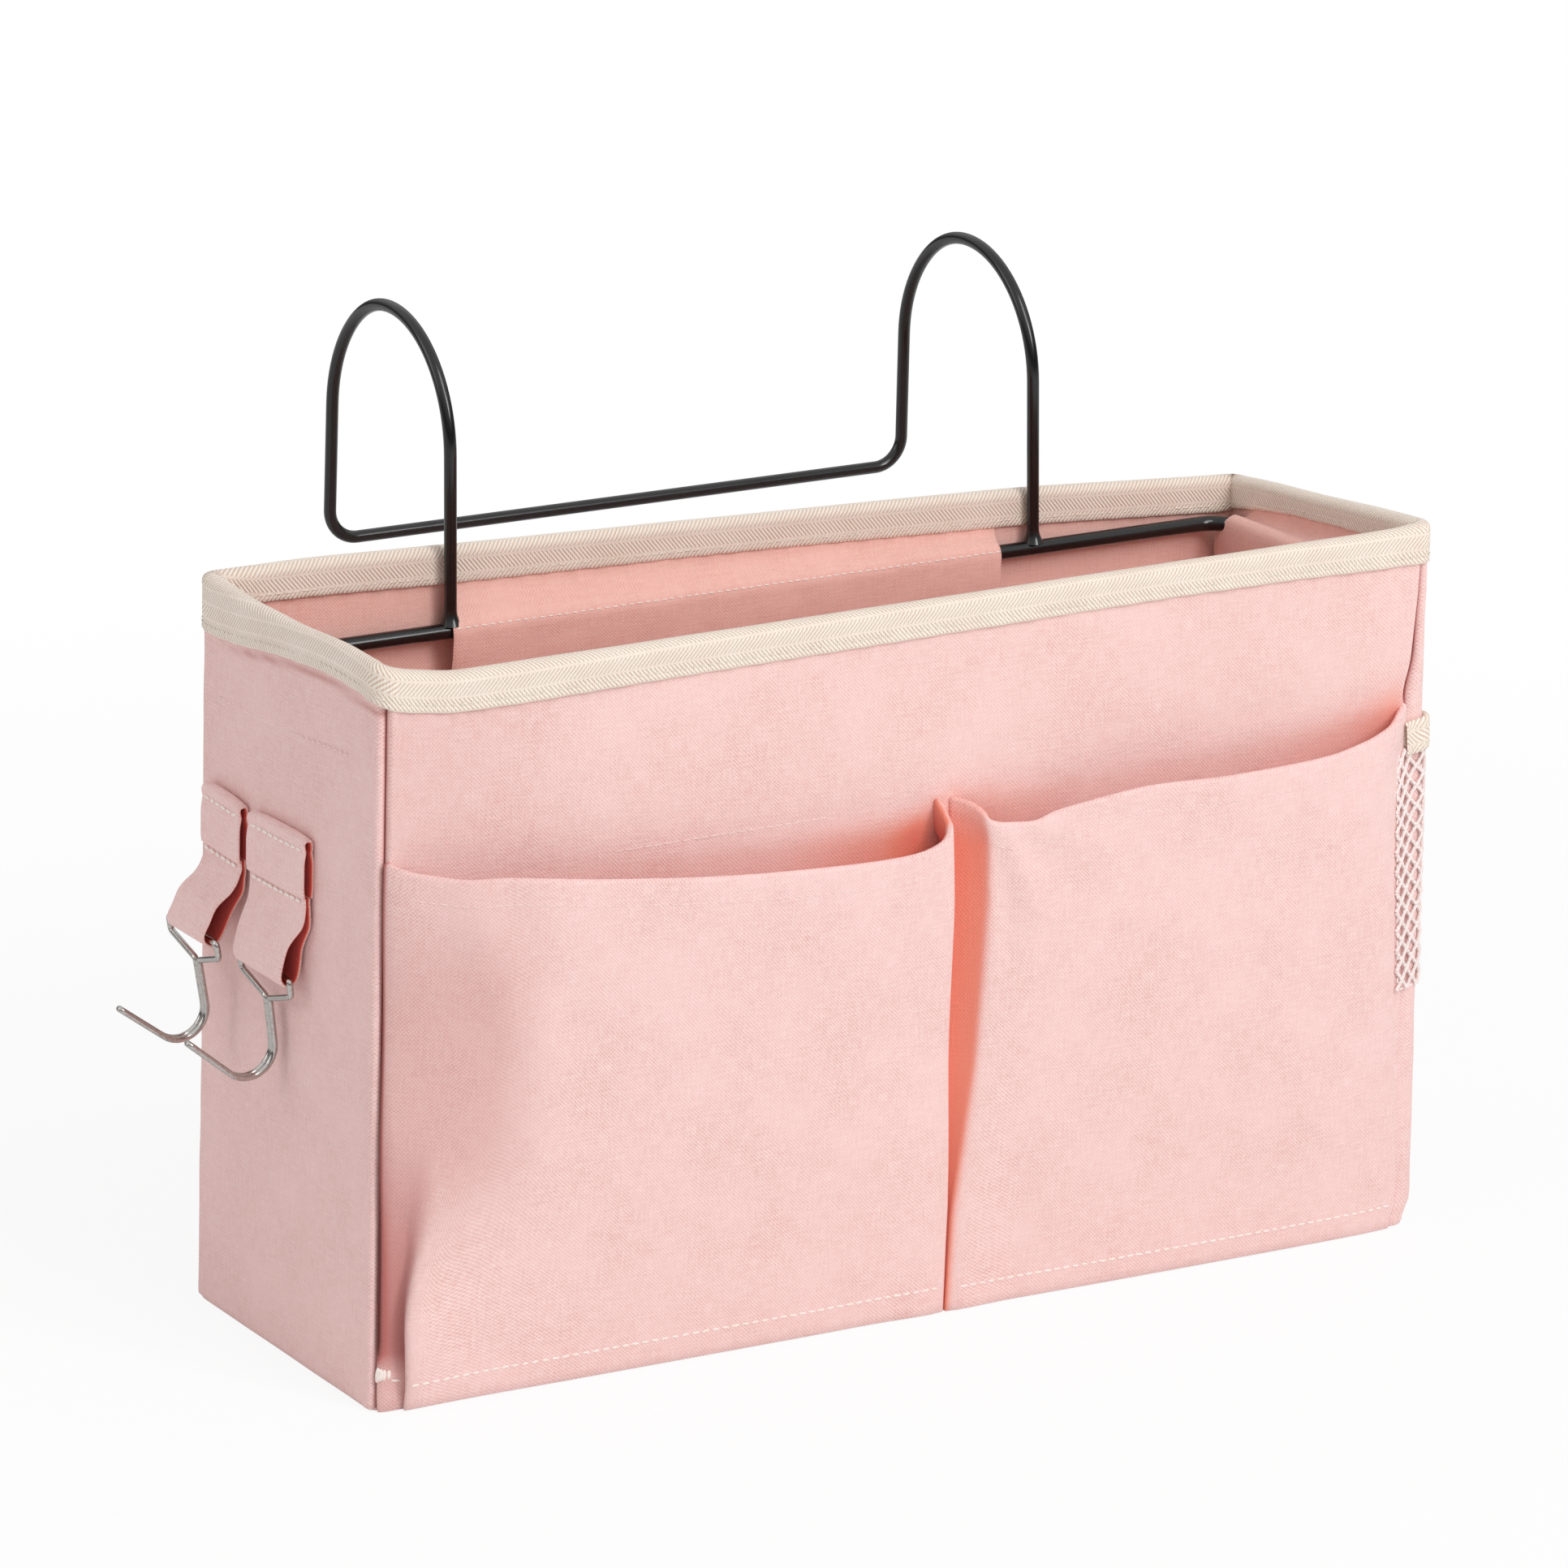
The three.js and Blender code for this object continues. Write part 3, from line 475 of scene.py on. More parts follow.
def sew(name, material, slot, *rows):
    """One object out of rows of stitches, each (points, normals, pitch, length, width, height)."""
    dress(joined(name, [part for row in rows for part in stitch_parts(*row)]), material)


# ---------------------------------------------------------------- materials


def srgb(r, g, b):
    return tuple(((c / 255) / 12.92 if c <= 10 else ((c / 255 + 0.055) / 1.055) ** 2.4) for c in (r, g, b))


class Value:
    """A node's output. Its sums, differences, products and quotients are math nodes."""

    def __init__(self, graph, socket):
        self.graph, self.socket = graph, socket

    def __add__(self, other):
        return self.graph.math("ADD", self, other)

    def __sub__(self, other):
        return self.graph.math("SUBTRACT", self, other)

    def __mul__(self, other):
        return self.graph.math("MULTIPLY", self, other)

    def __truediv__(self, other):
        return self.graph.math("DIVIDE", self, other)


class Graph:
    """Short hand for the nodes of a material or a world."""

    def __init__(self, owner, output="ShaderNodeOutputMaterial"):
        owner.use_nodes = True
        self.owner, self.tree = owner, owner.node_tree
        self.tree.nodes.clear()
        self.out = self.tree.nodes.new(output)

    def put(self, socket, value):
        if isinstance(value, Value):
            self.tree.links.new(value.socket, socket)
        else:
            socket.default_value = (*value, 1.0) if isinstance(value, tuple) else value

    def node(self, kind, inputs=(), output=0, **settings):
        """A new node's output. Its inputs are a list, or a dictionary by place or by name."""
        node = self.tree.nodes.new(kind)
        for key, value in settings.items():
            setattr(node, key, value)
        for place, value in inputs.items() if isinstance(inputs, dict) else enumerate(inputs):
            self.put(node.inputs[place], value)
        return Value(self, node.outputs[output])

    def math(self, operation, a, b=0.0, c=0.0):
        return self.node("ShaderNodeMath", (a, b, c), operation=operation)

    def noise(self, x, y, scale=1.0, detail=2.0, rough=0.5):
        inputs = {"Vector": self.node("ShaderNodeCombineXYZ", (x, y)), "Scale": scale}
        return self.node("ShaderNodeTexNoise", {**inputs, "Detail": detail, "Roughness": rough})

    def ramp(self, value, low, high, start=0.0, end=1.0):
        return self.node("ShaderNodeMapRange", (value, low, high, start, end))

    def mix(self, share, a, b):
        """A blend of two colours, each a node's output or a linear (r, g, b)."""
        return self.node("ShaderNodeMix", {0: share, 6: a, 7: b}, 2, data_type="RGBA")

    def blend(self, share, a, b):
        """A blend of two shaders."""
        return self.node("ShaderNodeMixShader", (share, a, b))

    def bump(self, height, distance, strength):
        return self.node("ShaderNodeBump", {"Strength": strength, "Distance": distance, "Height": height})

    def surface(self, colour, roughness, normal=None, **constants):
        inputs = {key.replace("_", " "): value for key, value in constants.items()}
        inputs |= {"Base Color": colour, "Roughness": roughness}
        if normal:
            inputs["Normal"] = normal
        return self.finished(self.node("ShaderNodeBsdfPrincipled", inputs))

    def finished(self, shader):
        self.put(self.out.inputs[0], shader)
        return self.owner


def cloth_graph(name):
    """A new material's graph, and the three parts of the mesh's own coordinate: along, across and the level
    of painted shade or glow.
    """
    g = Graph(bpy.data.materials.new(name))
    place = g.node("ShaderNodeAttribute", output="Vector", attribute_name="cloth")
    return g, *(g.node("ShaderNodeSeparateXYZ", (place,), k) for k in range(3))


# What pink cloth turns to as its level of painted light goes from one level to the next: downwards painted
# shade, and upwards painted glow, the stronger colour of light between two folds
PAINTED_LIGHT_COLOURS = [
    (0, -1, srgb(186, 112, 106)),
    (-1, -2, srgb(98, 42, 38)),
    (0, 1, srgb(242, 146, 124)),
    (1, 2, srgb(226, 74, 62)),
    (2, 3, srgb(96, 36, 34)),
]


def weave(name, light, mid, dark, yarn):
    """Plain-woven cotton: crossing threads, slubs along both directions and soft mottling."""
    g, x, y, depth = cloth_graph(name)
    wobble = g.noise(x * 0.05, y * 0.05, 1.0, 3.0)
    across = g.math("SINE", (x + wobble * 1.6) * (math.pi / yarn))
    over = across * g.math("SINE", (y + wobble * 1.2) * (math.pi / yarn))
    slubs = g.noise(x * 0.16, y * 1.3) + g.noise(x * 1.3, y * 0.16)
    mottle = g.noise(x * 0.035, y * 0.035, 1.0, 4.0, 0.6)
    grain = g.noise(x, y, 1.7)
    colour = g.mix(g.ramp(over * 0.3 + slubs * 0.5 + grain * 0.6, 0.44, 1.16), dark, light)
    colour = g.mix(g.ramp(mottle, 0.35, 0.65, 0.0, 0.55), colour, mid)
    # painted light and shade: the third coordinate turns the cloth towards the painted shade and painted glow
    # colours
    for low, high, deeper in PAINTED_LIGHT_COLOURS:
        colour = g.mix(g.ramp(depth, low, high), colour, deeper)
    relief = g.bump(over * 0.5 + slubs * 1.2 + grain * 0.8, 0.00011, 0.8)
    rough = g.ramp(grain, 0.3, 0.7, 0.86, 0.96)
    return g.surface(colour, rough, relief, Sheen_Weight=0.25, Sheen_Roughness=0.5, Specular_IOR_Level=0.25)


def herringbone(name, light, dark):
    """Cotton tape with slanting ribs that turn at each spine."""
    band, rib, fine_rib, spine_width = 4.6, 1.45, 0.75, 0.35
    g, x, y, depth = cloth_graph(name)
    fold = g.math("PINGPONG", y + 0.3, band)
    ribs = g.math("SINE", (x + fold * 0.9) / rib * (2 * math.pi))
    fine = g.math("SINE", x * (2 * math.pi / fine_rib))
    off_spine = g.math("LESS_THAN", g.math("ABSOLUTE", fold - band / 2), band / 2 - spine_width)
    grain = g.noise(x, y, 1.3, 3.0)
    blotch = g.noise(x * 0.06, y * 0.12, 1.0, 3.0)
    height = (ribs + fine * 0.25) * off_spine + grain * 0.7
    colour = g.mix(g.ramp(height, -0.8, 1.3) * 0.9 + blotch * 0.35, dark, light)
    # painted shade: where the third coordinate is above 0 the tape turns brown
    colour = g.mix(g.ramp(depth, 0.0, 1.0), colour, srgb(150, 118, 98))
    return g.surface(colour, 0.93, g.bump(height, 0.00016, 0.7), Sheen_Weight=0.15, Specular_IOR_Level=0.2)


def coated_wire(name):
    g, x, y, _ = cloth_graph(name)
    dust = g.noise(x, y, 2.3, 4.0, 0.7)
    colour = g.mix(g.ramp(dust, 0.55, 0.8, 0.0, 0.3), srgb(13, 12, 13), srgb(38, 35, 36))
    rough = g.ramp(dust, 0.3, 0.8, 0.18, 0.26)
    return g.surface(colour, rough, Specular_IOR_Level=0.45, Coat_Weight=0.25, Coat_Roughness=0.08)


def plated_wire(name):
    g, x, y, _ = cloth_graph(name)
    drawn = g.noise(x * 0.12, y * 3.0)
    colour = g.mix(g.ramp(g.noise(x, y, 0.9, 3.0), 0.45, 0.8), srgb(196, 192, 188), srgb(158, 152, 148))
    return g.surface(colour, g.ramp(drawn, 0.3, 0.75, 0.1, 0.16), Metallic=1.0)


def twisted(name, light, dark, turns=9.0, rough=0.7, relief=0.00006, strength=0.6, **constants):
    """Sewing thread or cord, with its twist."""
    g, x, y, _ = cloth_graph(name)
    twist = g.math("SINE", x * turns + y)
    colour = g.mix(g.ramp(twist, -1.0, 1.0), dark, light)
    constants = constants or {"Sheen_Weight": 0.2, "Specular_IOR_Level": 0.3}
    return g.surface(colour, rough, g.bump(twist, relief, strength), **constants)


def greyboard(name):
    g, x, y, _ = cloth_graph(name)
    pulp = g.noise(x, y, 0.8, 5.0, 0.7)
    colour = g.mix(g.ramp(pulp, 0.3, 0.7), srgb(150, 138, 120), srgb(186, 172, 150))
    return g.surface(colour, 0.95, g.bump(pulp, 0.0001, 0.4), Specular_IOR_Level=0.2)


CANVAS = weave("canvas", srgb(254, 226, 223), srgb(250, 215, 211), srgb(228, 175, 168), 0.62)
LINING = weave("lining", srgb(252, 208, 198), srgb(250, 200, 189), srgb(232, 170, 157), 0.56)
TAPE = herringbone("tape", srgb(255, 247, 236), srgb(212, 178, 154))
BOARD = greyboard("greyboard")
NET = twisted("net_cord", srgb(252, 240, 237), srgb(240, 222, 218), 5.0, 0.6, 0.00005, 0.5,
              Specular_IOR_Level=0.4)
BLACK = coated_wire("coated_wire")
CHROME = plated_wire("plated_wire")
THREAD = twisted("thread", srgb(255, 249, 244), srgb(248, 228, 219))
FAINT_THREAD = twisted("faint_thread", srgb(252, 228, 223), srgb(246, 214, 208))
TAPE_THREAD = twisted("tape_thread", srgb(252, 246, 236), srgb(222, 208, 188))


# ---------------------------------------------------------------- walls

SEAM_LEFT = -2.7
SEAM_RIGHT = 369.4
REAR_RIGHT = Q_BACK - ARC / 2
REAR_LEFT = Q_LEFT - ARC / 2
# Where each hook's elbow presses on the left wall when it swings in: (y, z)
HOOK_DIPS = [(3.0, 98.5), (39.0, 100.0)]


def seam_shift(q, z):
    """The seam at the front-right corner wanders: nearer to the corner at the rim than at the foot."""
    away = table([(0, -3.0), (178, -3.0), (186, -0.4), (200, 1.0), (216, 2.6), (230, 2.8)], z, 3)
    return away * hill(q - SEAM_RIGHT, 12)


def bow(q, z):
    """Low unevenness of the whole wall, shared by canvas, board and lining, nothing at the rim and foot."""
    hold = np.sin(math.pi * np.clip(z / BAG_HEIGHT, 0, 1)) ** 0.8
    dips = sum(hill(np.hypot(q - q_of("left", y), z - height), 10) for y, height in HOOK_DIPS)
    return 0.55 * waves(q, z, 11, 150) * hold + 1.35 * dips


def wall_grid(q_values, z_values, inset_at):
    q, z = np.meshgrid(q_values, z_values, indexing="ij")
    mid = wall_points(q + seam_shift(q, z), inset_at(q, z), z)
    return settle(mid), np.stack([q, z, 0 * q], -1)


def groove(q, z):
    """How open the seam between two walls is. The one at the net closes below the pocket mouth."""
    return 1 - (1 - smooth(168, 178, z)) * hill(q - SEAM_RIGHT, 9)


def add_wall(side, node, q0, q1, marks, depth):
    """A canvas wall from seam to seam. Its marks are pressed lines: (from, to, width, how deep)."""
    middle = max(12, int((q1 - q0) / 2.6))
    q_values = spans((q0, q0 + 2.5, 6), (q0 + 2.5, q0 + 10, 4), (q0 + 10, q1 - 10, middle),
                     (q1 - 10, q1 - 2.5, 4), (q1 - 2.5, q1, 6))
    z_values = spans((0.4, 3.0, 5), (3.0, 205, 74), (205, 228.6, 14))
    dents = [((q_of(side, a), low), (q_of(side, b), high), *size) for (a, low), (b, high), *size in marks]

    def inset(q, z):
        edge = np.minimum(q - q0, q1 - q)
        lip = groove(q, z) * (2.0 * (1 - smooth(0, 1.7, edge)) - 0.45 * hill(edge - 2.8, 1.5))
        foot = 0.75 * (1 - smooth(0, 2.4, z))
        pulled = 0.16 * np.sin(q * 1.3 + 1.7 * np.sin(q * 0.11)) * hill(z - 213, 7)
        dented = sum(deep * near_line(q, z, a, b, width) for a, b, width, deep in dents)
        return CANVAS_INSET + lip + foot + bow(q, z) + pulled + 0.12 * waves(q, z, 5, 34) + dented

    mid, coords = wall_grid(q_values, z_values, inset)
    q, z = coords[..., 0], coords[..., 1]
    # painted shade: the seams are painted dark brown, and the rest of the wall takes the painted shade and
    # glow that depth gives
    seam = groove(q, z) * (1 - smooth(0.1, 1.1, np.minimum(q - q0, q1 - q)))
    coords[..., 2] = depth(q, z) * (1 - seam) - 2.0 * seam
    name = f"{side}_canvas"
    obj = dress(cloth(name, mid, CANVAS_THICK, coords), CANVAS, "root", node)


LEFT_MARKS = [
    ((45, 194.2), (-36, 197.2), 1.1, 0.35),
    ((-36, 197.2), (-22, 178.0), 1.0, 0.4),
    ((47, 193.0), (52, 150.0), 2.6, 0.25),
]
FRONT_LINES = [
    [(-149.5, 164.4), (-99, 165.5), (7, 167.4)],
    [(20.7, 171.0), (57, 167.8), (133, 179.4), (180, 178.0)],
]
FRONT_MARKS = [(a, b, 1.1, 0.25) for line in FRONT_LINES for a, b in zip(line, line[1:])]
# Height of the pocket mouths along the front
MOUTHS = [(-186, 169.5), (-160, 168.2), (-120, 162.8), (-80, 158.1), (-40, 155.2), (-15, 154.1), (0, 157),
          (5, 162), (9, 166.2), (18, 160.4), (30, 158.4), (44, 160.5), (72, 164.4), (100, 163.8),
          (128, 163.8), (148, 164.1), (168, 167.5), (184, 172.0)]
# How strong the painted glow on the panel is behind the mouths, and how far up that reaches
MOUTH_PAINTED_GLOW = [(-186, 0), (-150, 0), (-120, 0.05), (-80, 0.12), (-50, 0.25), (-14, 0.8), (-2, 1.3), (6, 0.3),
               (16, 0.3), (24, 0.5), (60, 0.1), (120, 0.1), (160, 0.4), (180, 0.7), (186, 0.1)]
MOUTH_GLOW_REACH = [(-186, 5), (-60, 6), (-20, 8), (4, 6), (24, 10), (60, 5), (120, 6), (165, 8), (186, 8)]
# Lower edge of the rim tape along the left wall, by the distance round
LEFT_TAPE_EDGE = [(860, 215.5), (868, 212.2), (880, 213.6), (900, 216.6), (919, 218.8), (940, 219.6),
                  (981, 217.4)]


def painted_glow_behind_mouths(q, z):
    """Painted glow on the panel just above the pocket mouths and behind them, and painted shade towards the
    left corner.
    """
    x = q - FLAT_X
    above = z - table(MOUTHS, x, 3)
    # painted shade towards the left corner, just above the mouth
    corner = -0.2 * (1 - smooth(-186, -90, x)) * smooth(0, 6, above)
    return corner + 0.03 + table(MOUTH_PAINTED_GLOW, x) * hill(np.maximum(above, 0), table(MOUTH_GLOW_REACH, x))


def painted_shade_left_wall(q, z):
    """Painted shade: the left wall is a little darker all over, and more so in the crease under its tape."""
    return -0.06 - 0.55 * hill(z - table(LEFT_TAPE_EDGE, q, 3) + 2.6, 0.9) * smooth(872, 900, q)


def plain(q, z):
    return 0 * q


add_wall("front", "front_panel", SEAM_LEFT, SEAM_RIGHT, FRONT_MARKS, painted_glow_behind_mouths)
add_wall("right", "right_side_panel", SEAM_RIGHT + 0.2, REAR_RIGHT - 0.1, [], plain)
add_wall("back", "back_panel", REAR_RIGHT + 0.1, REAR_LEFT - 0.1, [], plain)
add_wall("left", "left_side_panel", REAR_LEFT + 0.1, ROUND + SEAM_LEFT - 0.2, LEFT_MARKS,
         painted_shade_left_wall)


def lining_inset(q, z):
    slack = 0.28 * waves(q, z, 23, 46) * smooth(226, 200, z)
    return LINING_INSET + bow(q, z) + np.maximum(slack, -0.1)


CORNER_MIDDLES = [-ARC / 2, Q_RIGHT - ARC / 2, REAR_RIGHT, REAR_LEFT, ROUND - ARC / 2]
LINING_GAP = 0.3  # from a corner's middle to each of the two linings that meet there
for side, begin, end, length in zip(
    ("front", "right", "back", "left"), CORNER_MIDDLES, CORNER_MIDDLES[1:], (0.372, 0.108, 0.372, 0.108)
):
    begin, end = begin + LINING_GAP, end - LINING_GAP
    q_values = spans((begin, end, max(24, int((end - begin) / 3.5))))
    mid, coords = wall_grid(q_values, spans((3.6, 170, 40), (170, 228.4, 26)), lining_inset)
    obj = cloth(f"{side}_lining_cloth", mid, LINING_THICK, coords)
    dress(obj, LINING, "root", f"{side}_lining")

for side, half in (("front", 181), ("back", 184), ("left", 51), ("right", 51)):
    begin, end = sorted((q_of(side, -half), q_of(side, half)))
    board_q, board_z = spans((begin, end, 40)), spans((1.2, 228, 30))
    mid, coords = wall_grid(board_q, board_z, lambda q, z: BOARD_INSET + bow(q, z))
    dress(cloth(f"{side}_stiffener", mid, BOARD_THICK, coords), BOARD, "root", f"{side}_board")


def floor_sheet(name, inset, z, thickness):
    """A sheet of the base with rounded corners, inset from the bag's outside."""
    edge = HALF_DEPTH - inset
    ys = spans((-edge, 5 - edge, 6), (5 - edge, edge - 5, 24), (edge - 5, edge, 6))
    u, y = np.meshgrid(spans((-1, 1, 90)), ys, indexing="ij")
    r = max(CORNER - inset, 1.0)
    past = np.clip(np.abs(y) - (edge - r), 0, r)
    x = u * (HALF_WIDTH - inset - (r - np.sqrt(r * r - past * past)))
    mid = settle(np.stack([x, y, z + 0 * u], -1))
    return cloth(name, mid, thickness, np.stack([x, y, 0 * u], -1))


obj = dress(floor_sheet("base_canvas", 1.1, 0.42, CANVAS_THICK), CANVAS, "root", "base_panel")
dress(floor_sheet("base_stiffener", 2.9, 1.9, BASE_BOARD_THICK), BOARD, "root", "base_board")
obj = dress(floor_sheet("base_lining_cloth", 3.8, 3.2, LINING_THICK), LINING, "root", "base_lining")


# ---------------------------------------------------------------- rim tape

# How far the tape comes down from the rim outside and inside, by the distance round
OUTER_DROP = [(-2.7, 12.6), (0, 12.3), (22, 11.6), (45, 11.8), (84, 11.2), (274, 10.2), (320, 10.6),
              (365, 11.7), (378, 14.0), (395, 12.5), (846, 12.5), (860, 14.5), (868, 17.8), (880, 16.4),
              (900, 13.4), (919, 11.2), (940, 10.4), (968, 11.3), (981.4, 12.6)]
INNER_DROP = [(0, 10), (370, 10), (384, 9.0), (420, 8.2), (445, 8.2), (474, 10.2), (492, 12.2), (520, 12.0),
              (600, 11.8), (676, 11.0), (795, 11.4), (846, 10.7), (861, 10.6), (981.4, 10)]
SIDE_ROWS, TOP_ROWS = 9, 13


def tape_edge(drops, q):
    """Height of the tape's free edge."""
    return BAG_HEIGHT - table(drops, np.mod(q, ROUND), 3)


def rim_tape():
    # the ends meet behind the front-right corner, in a strip too slim to show the jump in the weave
    start = 388.0
    runs = [(start, Q_BACK - ARC, 42)]
    for corner, last, steps in (
        (Q_BACK, Q_LEFT - ARC, 150),
        (Q_LEFT, ROUND - ARC, 44),
        (ROUND - 1e-9, ROUND + Q_RIGHT - ARC, 150),  # just short of where the tables of drops begin again
        (ROUND + Q_RIGHT, ROUND + start - 0.05, 4),
    ):
        runs += [(corner - ARC, corner, 8), (corner, last, steps)]
    q = spans(*runs)[:, None]
    held = smooth(0, 9, q - start) * smooth(0, 9, start + ROUND - q)
    # rows from the outer edge up, over the rim and down to the inner edge
    middle, radius = 1.975, 2.775
    crown = BAG_HEIGHT - 0.5 - radius
    rising, falling = np.arange(SIDE_ROWS) / SIDE_ROWS, np.arange(1, SIDE_ROWS + 1) / SIDE_ROWS
    angle = math.pi * (1 - np.arange(TOP_ROWS) / (TOP_ROWS - 1))
    low_out, low_in = tape_edge(OUTER_DROP, q), tape_edge(INNER_DROP, q)
    outer = low_out * (1 - rising) + crown * rising
    top = crown + radius * 0.85 * np.sin(angle) + 0 * q
    z = np.hstack([outer, top, crown * (1 - falling) + low_in * falling])
    rows = [SIDE_ROWS, TOP_ROWS, SIDE_ROWS]
    inset = np.repeat([-0.8, 0, 4.75], rows)
    inset[SIDE_ROWS:-SIDE_ROWS] = middle + radius * np.cos(angle)
    # puckers along both edges, and a pinch at the rear corners, darkened with painted shade
    foot = outer - low_out
    outer_pucker = 0.16 * np.sin(q * 2.03) * hill(foot, 2.5) + 0.22 * hill(foot - 2.2, 1.6)
    ripple = np.hstack([outer_pucker, 0 * top, -0.16 * np.sin(q * 1.9) * smooth(0.5, 1.0, falling)])
    # painted shade: dark darkens the tape at the rear corners' pinch, through the tape's third coordinate
    dark = 0 * z
    for corner, deep in ((REAR_RIGHT, 1.0), (REAR_LEFT, 0.3)):
        ripple = ripple - np.repeat([0, 0.35, 0.9], rows) * hill(q - corner, 1.1)
        dark[:, SIDE_ROWS:] += deep * (hill(q - corner, 0.9) + 0.35 * hill(q - corner, 5))
    inset = inset + (ripple + 0.14 * waves(q, z, 3, 30)) * held
    steps = np.hypot(np.diff(inset, axis=1), np.diff(z, axis=1))
    across = np.hstack([0 * q, np.cumsum(steps, axis=1)])
    mid = settle(wall_points(q + 0 * z, inset, z))
    obj = cloth("rim_tape", mid, RIM_TAPE_THICK, np.stack([q + 0 * z, across, dark], -1), closed=True)
    dress(obj, TAPE, "root", "rim_binding")


rim_tape()
qs = around(0, ROUND - 0.5)
points = settle(wall_points(qs, -1.22, tape_edge(OUTER_DROP, qs) + 2.1))
sew("tape_stitches", TAPE_THREAD, "binding_tape", (points, outward(qs), *TAPE_STITCH))
points = settle(wall_points(qs, 5.2, tape_edge(INNER_DROP, qs) + 1.8))
sew("tape_stitches_inside", TAPE_THREAD, "binding_tape", (points, -outward(qs), *TAPE_STITCH))


# ---------------------------------------------------------------- ring and hanger


def ring_line():
    x, y = HALF_WIDTH - RING_INSET - RING_BEND, HALF_DEPTH - RING_INSET - RING_BEND
    points = []
    for cx, cy, start in ((x, -y, -90), (x, y, 0), (-x, y, 90), (-x, -y, 180)):
        for a in np.radians(start + 5 * np.arange(19)):
            points.append(np.array([cx + RING_BEND * np.cos(a), cy + RING_BEND * np.sin(a), RING_Z]))
    out = []
    for p, after in zip(points, points[1:] + points[:1]):
        count = max(1, int(np.linalg.norm(after - p) / 14))
        out += list(np.linspace(p, after, count, endpoint=False))
    return np.array(out)


def hanger_line():
    """The middle of the hanger's wire and the distance of each point to the nearer foot."""
    arch = (BACK_LEG_Y - FRONT_LEG_Y) / 2

    def half(x):
        return [
            ((x, FRONT_LEG_Y, LEG_FOOT - 1.0), 0),
            ((x, FRONT_LEG_Y, ARCH_TOP), arch),
            ((x, BACK_LEG_Y, ARCH_TOP), arch),
            ((x, BACK_LEG_Y, BACK_ROD_Z), 10),
        ]

    def foot_distance(line):
        ends = (line[0], line[-1])
        return np.min([np.linalg.norm(line - end, axis=1) for end in ends], axis=0)

    line = bent(half(-LEG_X) + half(LEG_X)[::-1], 4)
    foot = foot_distance(line)
    dense = []
    for i in range(len(line) - 1):
        count = 10 if min(foot[i], foot[i + 1]) < 6 else 1
        dense += list(np.linspace(line[i], line[i + 1], count, endpoint=False))
    dense = np.array([*dense, line[-1]])
    return dense, foot_distance(dense)


obj = tube("ring_wire", hang(ring_line()), RING_WIRE / 2, sides=28, closed=True)
dress(obj, BLACK, "root", "carrier_ring")
line, foot = hanger_line()
# the weld beads widen the wire at its feet
radii = WIRE / 2 + 1.5 * np.clip(1 - foot / 4.8, 0, 1) ** 1.8
obj = tube("hanger_bent_wire", hang(line), radii, sides=28, round_ends=False)
dress(obj, BLACK, "root", "hanger_wire")


# ---------------------------------------------------------------- cloth that holds the ring

# Paths over the ring's wire: (distance from the lining, z)
SLEEVE_PATH = [(0.35, 225.5), (0.35, 221.5), (0.5, 218.0), (1.4, 215.2), (4.0, 214.0), (6.4, 212.6),
               (7.35, 210.2), (7.2, 206.5), (6.7, 201.5), (5.8, 196.0), (4.7, 190.5), (3.3, 185.0),
               (2.0, 180.0)]
FACING_PATH = [(0.35, 225.0), (0.35, 221.0), (0.5, 217.6), (1.8, 215.2), (4.6, 214.0), (6.7, 212.4),
               (7.4, 210.0), (7.2, 206.5), (6.5, 201.0), (5.4, 195.5), (3.9, 190.0), (2.2, 185.0)]
# How far the right facing's rear edge is drawn to the rear, by z
FACING_REACH = [(178, 8.5), (203.5, 8.5), (211, 6.5), (216, 1.0), (222, -4.0), (230, -6)]


def swept(values, path, steps):
    """Grids for a strip along a path: the value across it, the path's two coordinates, the way along it."""
    line = through(path, steps)
    u, k = np.meshgrid(values, np.arange(len(line)), indexing="ij")
    return u, line[k, 0], line[k, 1], run_length(line)[k]


def facing_grid(q_values, path):
    """Points near the ring follow the ring's tilt, and the others the bag."""
    q, depth, z, along = swept(q_values, path, 5)
    points = wall_points(q, WALL + depth, z)
    held = smooth(0.8, 5.5, depth)[..., None]
    return settle(points) * (1 - held) + hang(points) * held, np.stack([q, along, 0 * q], -1)


qs = around(q_of("back", 93), q_of("back", -108), 2.2)
sleeve, coords = facing_grid(qs, SLEEVE_PATH)
rumple = 0.3 * waves(coords[..., 0], coords[..., 1], 41, 24) * smooth(6, 11, coords[..., 1])
sleeve[..., 1] -= np.abs(rumple)
obj = dress(cloth("sleeve_cloth", sleeve, LINING_THICK, coords), LINING, "root", "back_sleeve")

for side, low, high in (("front", -171, 171), ("left", -39, 39), ("right", -39, 43)):
    qs = around(q_of(side, low), q_of(side, high), 2.6)
    mid, coords = facing_grid(qs, FACING_PATH)
    if side == "right":
        share = (coords[..., 0] - qs[0]) / (qs[-1] - qs[0])
        mid[..., 1] += table(FACING_REACH, mid[..., 2]) * smooth(0.6, 1.0, share)
    obj = cloth(f"{side}_facing_cloth", mid, LINING_THICK, coords)
    dress(obj, LINING, "root", f"{side}_facing")

SLEEVE_ROW = 28  # the row of the sleeve's grid just over the rod, where it is sewn
points = sleeve[:, SLEEVE_ROW] + (0, -0.35, 0)
normals = np.tile((0, -1, 0.3), (len(points), 1))
sew("sleeve_stitches", THREAD, "lining", (points, normals, *SLEEVE_STITCH))


# ---------------------------------------------------------------- pockets

FOOT = 0.4
HEM_ROLL = 0.85
HEM_DEPTH = 8.5
ROWS = spans((0, 1, 46))
